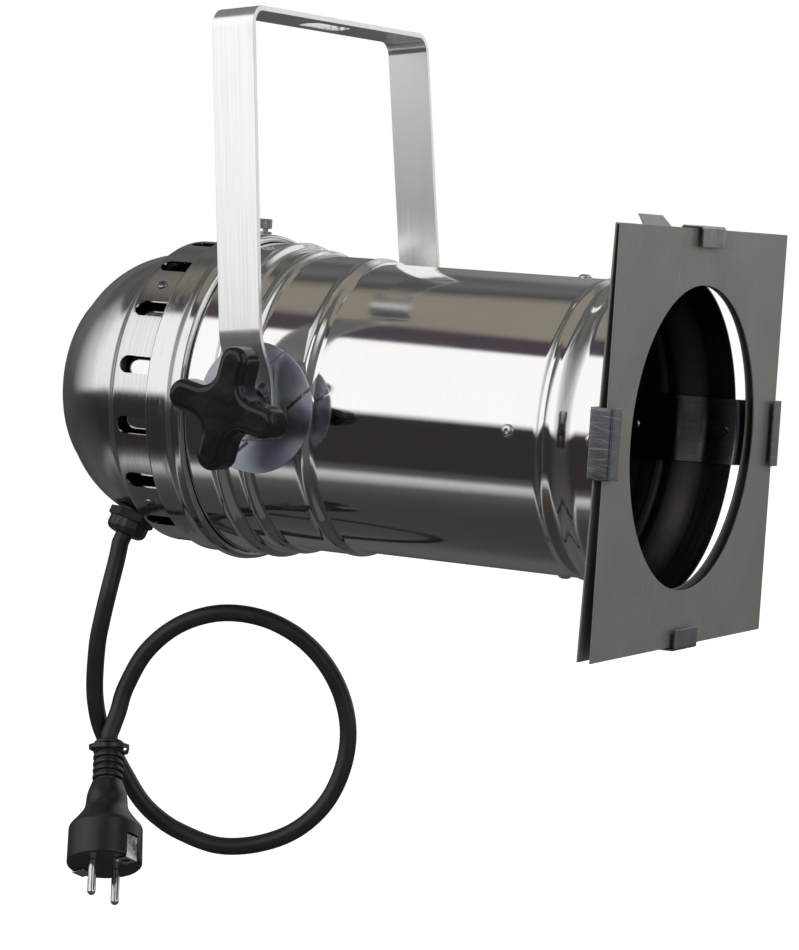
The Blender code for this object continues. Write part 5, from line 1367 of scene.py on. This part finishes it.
def make_gland():
    """Hexagonal body and clamping nut of the cable gland."""
    place = CAN @ gland_placement()
    low = GLAND_LIFT
    high = low + GLAND_HEX_HEIGHT
    turn = math.pi / 6
    outline = circle(GLAND_HEX_FLAT / math.sqrt(3), 6, turn)
    corners = []
    for start, end in zip(outline, outline[1:] + outline[:1]):
        corners += [tuple(Vector(start).lerp(Vector(end), k / 8)) for k in range(8)]
    round_top = [tuple(Vector(p).normalized() * min(Vector(p).length, GLAND_HEX_FLAT / 2 * 1.03))
                 for p in corners]
    thread = [tuple(Vector(p).normalized() * GLAND_THREAD_RADIUS) for p in corners]
    layers = stacked(((-GLAND_THREAD_LENGTH, thread), (low, thread), (low, corners),
                      (high - 0.8 * MM, corners), (high, round_top)))
    body = show("gland_hexagon", rings(layers), "rear_housing", GLAND,
                ["gland_body"], place, 25)
    soften(body, 0.25 * MM, 2, 25)
    nut_low = high + GAP
    nut_high = nut_low + GLAND_NUT_HEIGHT
    drop = GLAND_NUT_RADIUS - GLAND_NUT_EXIT_RADIUS
    profile = [(nut_low, 1.0, GLAND_NUT_RADIUS)]
    profile += [(nut_high - GLAND_NUT_DOME * (1 - s), c, GLAND_NUT_RADIUS - drop * (1 - c))
                for c, s in arc((0, 0), 1.0, 5, 75, 10)]
    profile.append((nut_high, 0.2, GLAND_NUT_EXIT_RADIUS * 0.9))
    layers = []
    ribs = 12
    for level, weight, radius in profile:
        ring = []
        for k in range(ribs * 6):
            depth = 0.035 * (k % 6 in (2, 3, 4)) * min(weight * 1.6, 1.0)
            angle = 2 * math.pi * k / (ribs * 6)
            ring.append((*polar(radius * (1 - depth), angle), level))
        layers.append(ring)
    show("gland_dome", rings(layers), "rear_housing", GLAND, ["gland_nut"], place, 50)


def make_colour_frame():
    """Folded sheet with its round hole and leaning grip tab."""
    half = FRAME_SIDE / 2
    face = FRAME_FACE_X
    inside = face - FRAME_SHEET
    rear_top = inside - FRAME_GAP_TOP
    rear_low = inside - FRAME_GAP_BOTTOM
    outline = [
        (face, -half), (face, half), (rear_top - FRAME_SHEET, half), (rear_low - FRAME_SHEET, -half),
        (rear_low, -half), (rear_top, half - FRAME_SHEET), (inside, half - FRAME_SHEET), (inside, -half),
    ]
    upright = axes_to((1, 0, 0), (0, 0, 1), (0, -1, 0))
    sheet = show("folded_frame", prism(outline, -half, half, upright), "colour_frame",
                 FRAME, ["colour_frame"])
    forward = Matrix.Rotation(math.pi / 2, 4, "Y")
    cut(sheet, prism(circle(FRAME_HOLE_RADIUS, 160), rear_low - 4 * MM, face + 2 * MM, forward))
    soften(sheet, 0.25 * MM)
    root = half - FRAME_SHEET * 0.8
    top = half + TAB_HEIGHT
    feet = (-half + 0.125 * FRAME_SIDE, -half + 0.28 * FRAME_SIDE)
    tips = (feet[0], feet[1] - TAB_HEIGHT)
    bm = bmesh.new()
    corners = []
    for x in (face - 0.05 * MM, inside + 0.05 * MM):
        corners.append([bm.verts.new(p) for p in (
            (x, feet[0], root), (x, feet[1], root), (x, feet[1], half),
            (x - TAB_LEAN, tips[1], top), (x - TAB_LEAN, tips[0], top), (x, feet[0], half))])
    front, back = corners
    for k in range(6):
        bm.faces.new((front[k], front[(k + 1) % 6], back[(k + 1) % 6], back[k]))
    for ring in (front, back):
        bm.faces.new((ring[0], ring[1], ring[2], ring[5]))
        bm.faces.new((ring[5], ring[2], ring[3], ring[4]))
    tab = show("frame_grip", bm, "colour_frame", FRAME, ["colour_frame"])
    soften(tab, 0.2 * MM)


def dress_nodes():
    """Materials of the CAD nodes that keep their own shape."""
    finishes = {
        "pivot_stud_right": ZINC, "pivot_stud_left": ZINC, "lamp_prong_right": NICKEL,
        "lamp_prong_left": NICKEL, "lamp_filament": NICKEL, "lamp_retaining_ring": STEEL,
        "lamp_holder": CERAMIC, "holder_bracket": ZINC, "holder_lead_sleeve": WHITE_SLEEVING,
        "earth_lead": GREEN, "earth_terminal": BRASS, "gland_locknut": GLAND,
    }
    for name, finish in finishes.items():
        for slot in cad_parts[name].material_slots:
            slot.material = finish


# Studio

def make_world():
    """Soft studio: a broad light in front, dark flags round it, white behind the object."""
    world = bpy.data.worlds.new("studio")
    bpy.context.scene.world = world
    world.use_nodes = True
    tree = world.node_tree
    tree.nodes.clear()
    split = node(tree, "SeparateXYZ", {0: node(tree, "TexCoord").outputs["Generated"]})
    height = maths(tree, "MULTIPLY", maths(tree, "ARCSINE", split.outputs["Z"]), 1 / math.pi)
    height = maths(tree, "ADD", height, 0.5)
    ahead = maths(tree, "MULTIPLY", split.outputs["Y"], -1.0)
    turn = maths(tree, "ARCTAN2", split.outputs["X"], ahead)
    turn = maths(tree, "ADD", maths(tree, "MULTIPLY", turn, 0.5 / math.pi), 0.5)

    def ramp(source, stops, reach):
        """Colours by degrees from -reach to reach."""
        fresh = node(tree, "ValToRGB", {"Fac": source})
        elements = fresh.color_ramp.elements
        while len(elements) > 1:
            elements.remove(elements[-1])
        for index, (degrees, colour) in enumerate(stops):
            place = (degrees + reach) / (2 * reach)
            element = elements[0] if index == 0 else elements.new(place)
            element.position = place
            level = colour if isinstance(colour, tuple) else (colour, colour, colour)
            element.color = (*level, 1.0)
        return fresh.outputs["Color"]

    colour = ramp(height, LEFT_LIGHT, 90)
    sectors = ((FRONT_LIGHT, FRONT_TURN), (RIGHT_LIGHT, RIGHT_TURN), (BACK_LIGHT, BACK_TURN))
    for light_stops, turn_stops in sectors:
        colour = blended(tree, ramp(turn, turn_stops, 180), colour, ramp(height, light_stops, 90))
    light = node(tree, "Background", {"Strength": 1.0, "Color": colour})
    white = node(tree, "Background", {"Color": (1, 1, 1, 1)})
    seen = node(tree, "MixShader", {"Fac": node(tree, "LightPath").outputs["Is Camera Ray"],
                                    1: light.outputs[0], 2: white.outputs[0]})
    node(tree, "OutputWorld", {"Surface": seen.outputs[0]})


def make_floor():
    """Pale floor that reads white to the camera and keeps the object's shadow."""
    bm = bmesh.new()
    corners = [(x * FLOOR_HALF, y * FLOOR_HALF) for x, y in ((-1, -1), (1, -1), (1, 1), (-1, 1))]
    bm.faces.new([bm.verts.new((x, y, FLOOR_LEVEL)) for x, y in corners])
    mesh = bpy.data.meshes.new("floor")
    bm.to_mesh(mesh)
    bm.free()
    floor = placed("floor", mesh)
    finish = bpy.data.materials.new("floor")
    finish.use_nodes = True
    tree = finish.node_tree
    tree.nodes.clear()
    matt = node(tree, "BsdfDiffuse", {"Color": (0.72, 0.72, 0.72, 1)})
    seen = node(tree, "LightPath").outputs["Is Camera Ray"]
    glow = node(tree, "Emission", {"Strength": maths(tree, "MULTIPLY", seen, 0.8)})
    both = node(tree, "AddShader", {0: matt.outputs[0], 1: glow.outputs[0]})
    node(tree, "OutputMaterial", {"Surface": both.outputs[0]})
    mesh.materials.append(finish)
    floor.visible_glossy = False


def make_lamps():
    """Broad soft lamps from the front left and the front right, for the dull pieces."""
    for name, place, size, energy in KEYS:
        light = bpy.data.lights.new(name, "AREA")
        light.shape = "RECTANGLE"
        light.size = size
        light.size_y = 0.8 * size
        light.energy = energy
        aim = (Vector((0, 0, -YOKE_DROP)) - Vector(place)).to_track_quat("-Z", "Y")
        lamp = placed(name, light, Matrix.Translation(place) @ aim.to_matrix().to_4x4())
        lamp.visible_glossy = False
        lamp.visible_camera = False


bpy.context.scene.view_settings.view_transform = "Standard"
make_camera()
make_cord()
make_yoke()
make_barrel()
make_rivets()
for side_name in SIDES:
    make_clip(side_name)
make_ring()
make_cap()
make_baffle()
make_lock()
make_pivot_side("right")
make_pivot_side("left")
make_lamp()
make_gland()
make_colour_frame()
settle_shading()
dress_nodes()
make_world()
make_floor()
make_lamps()
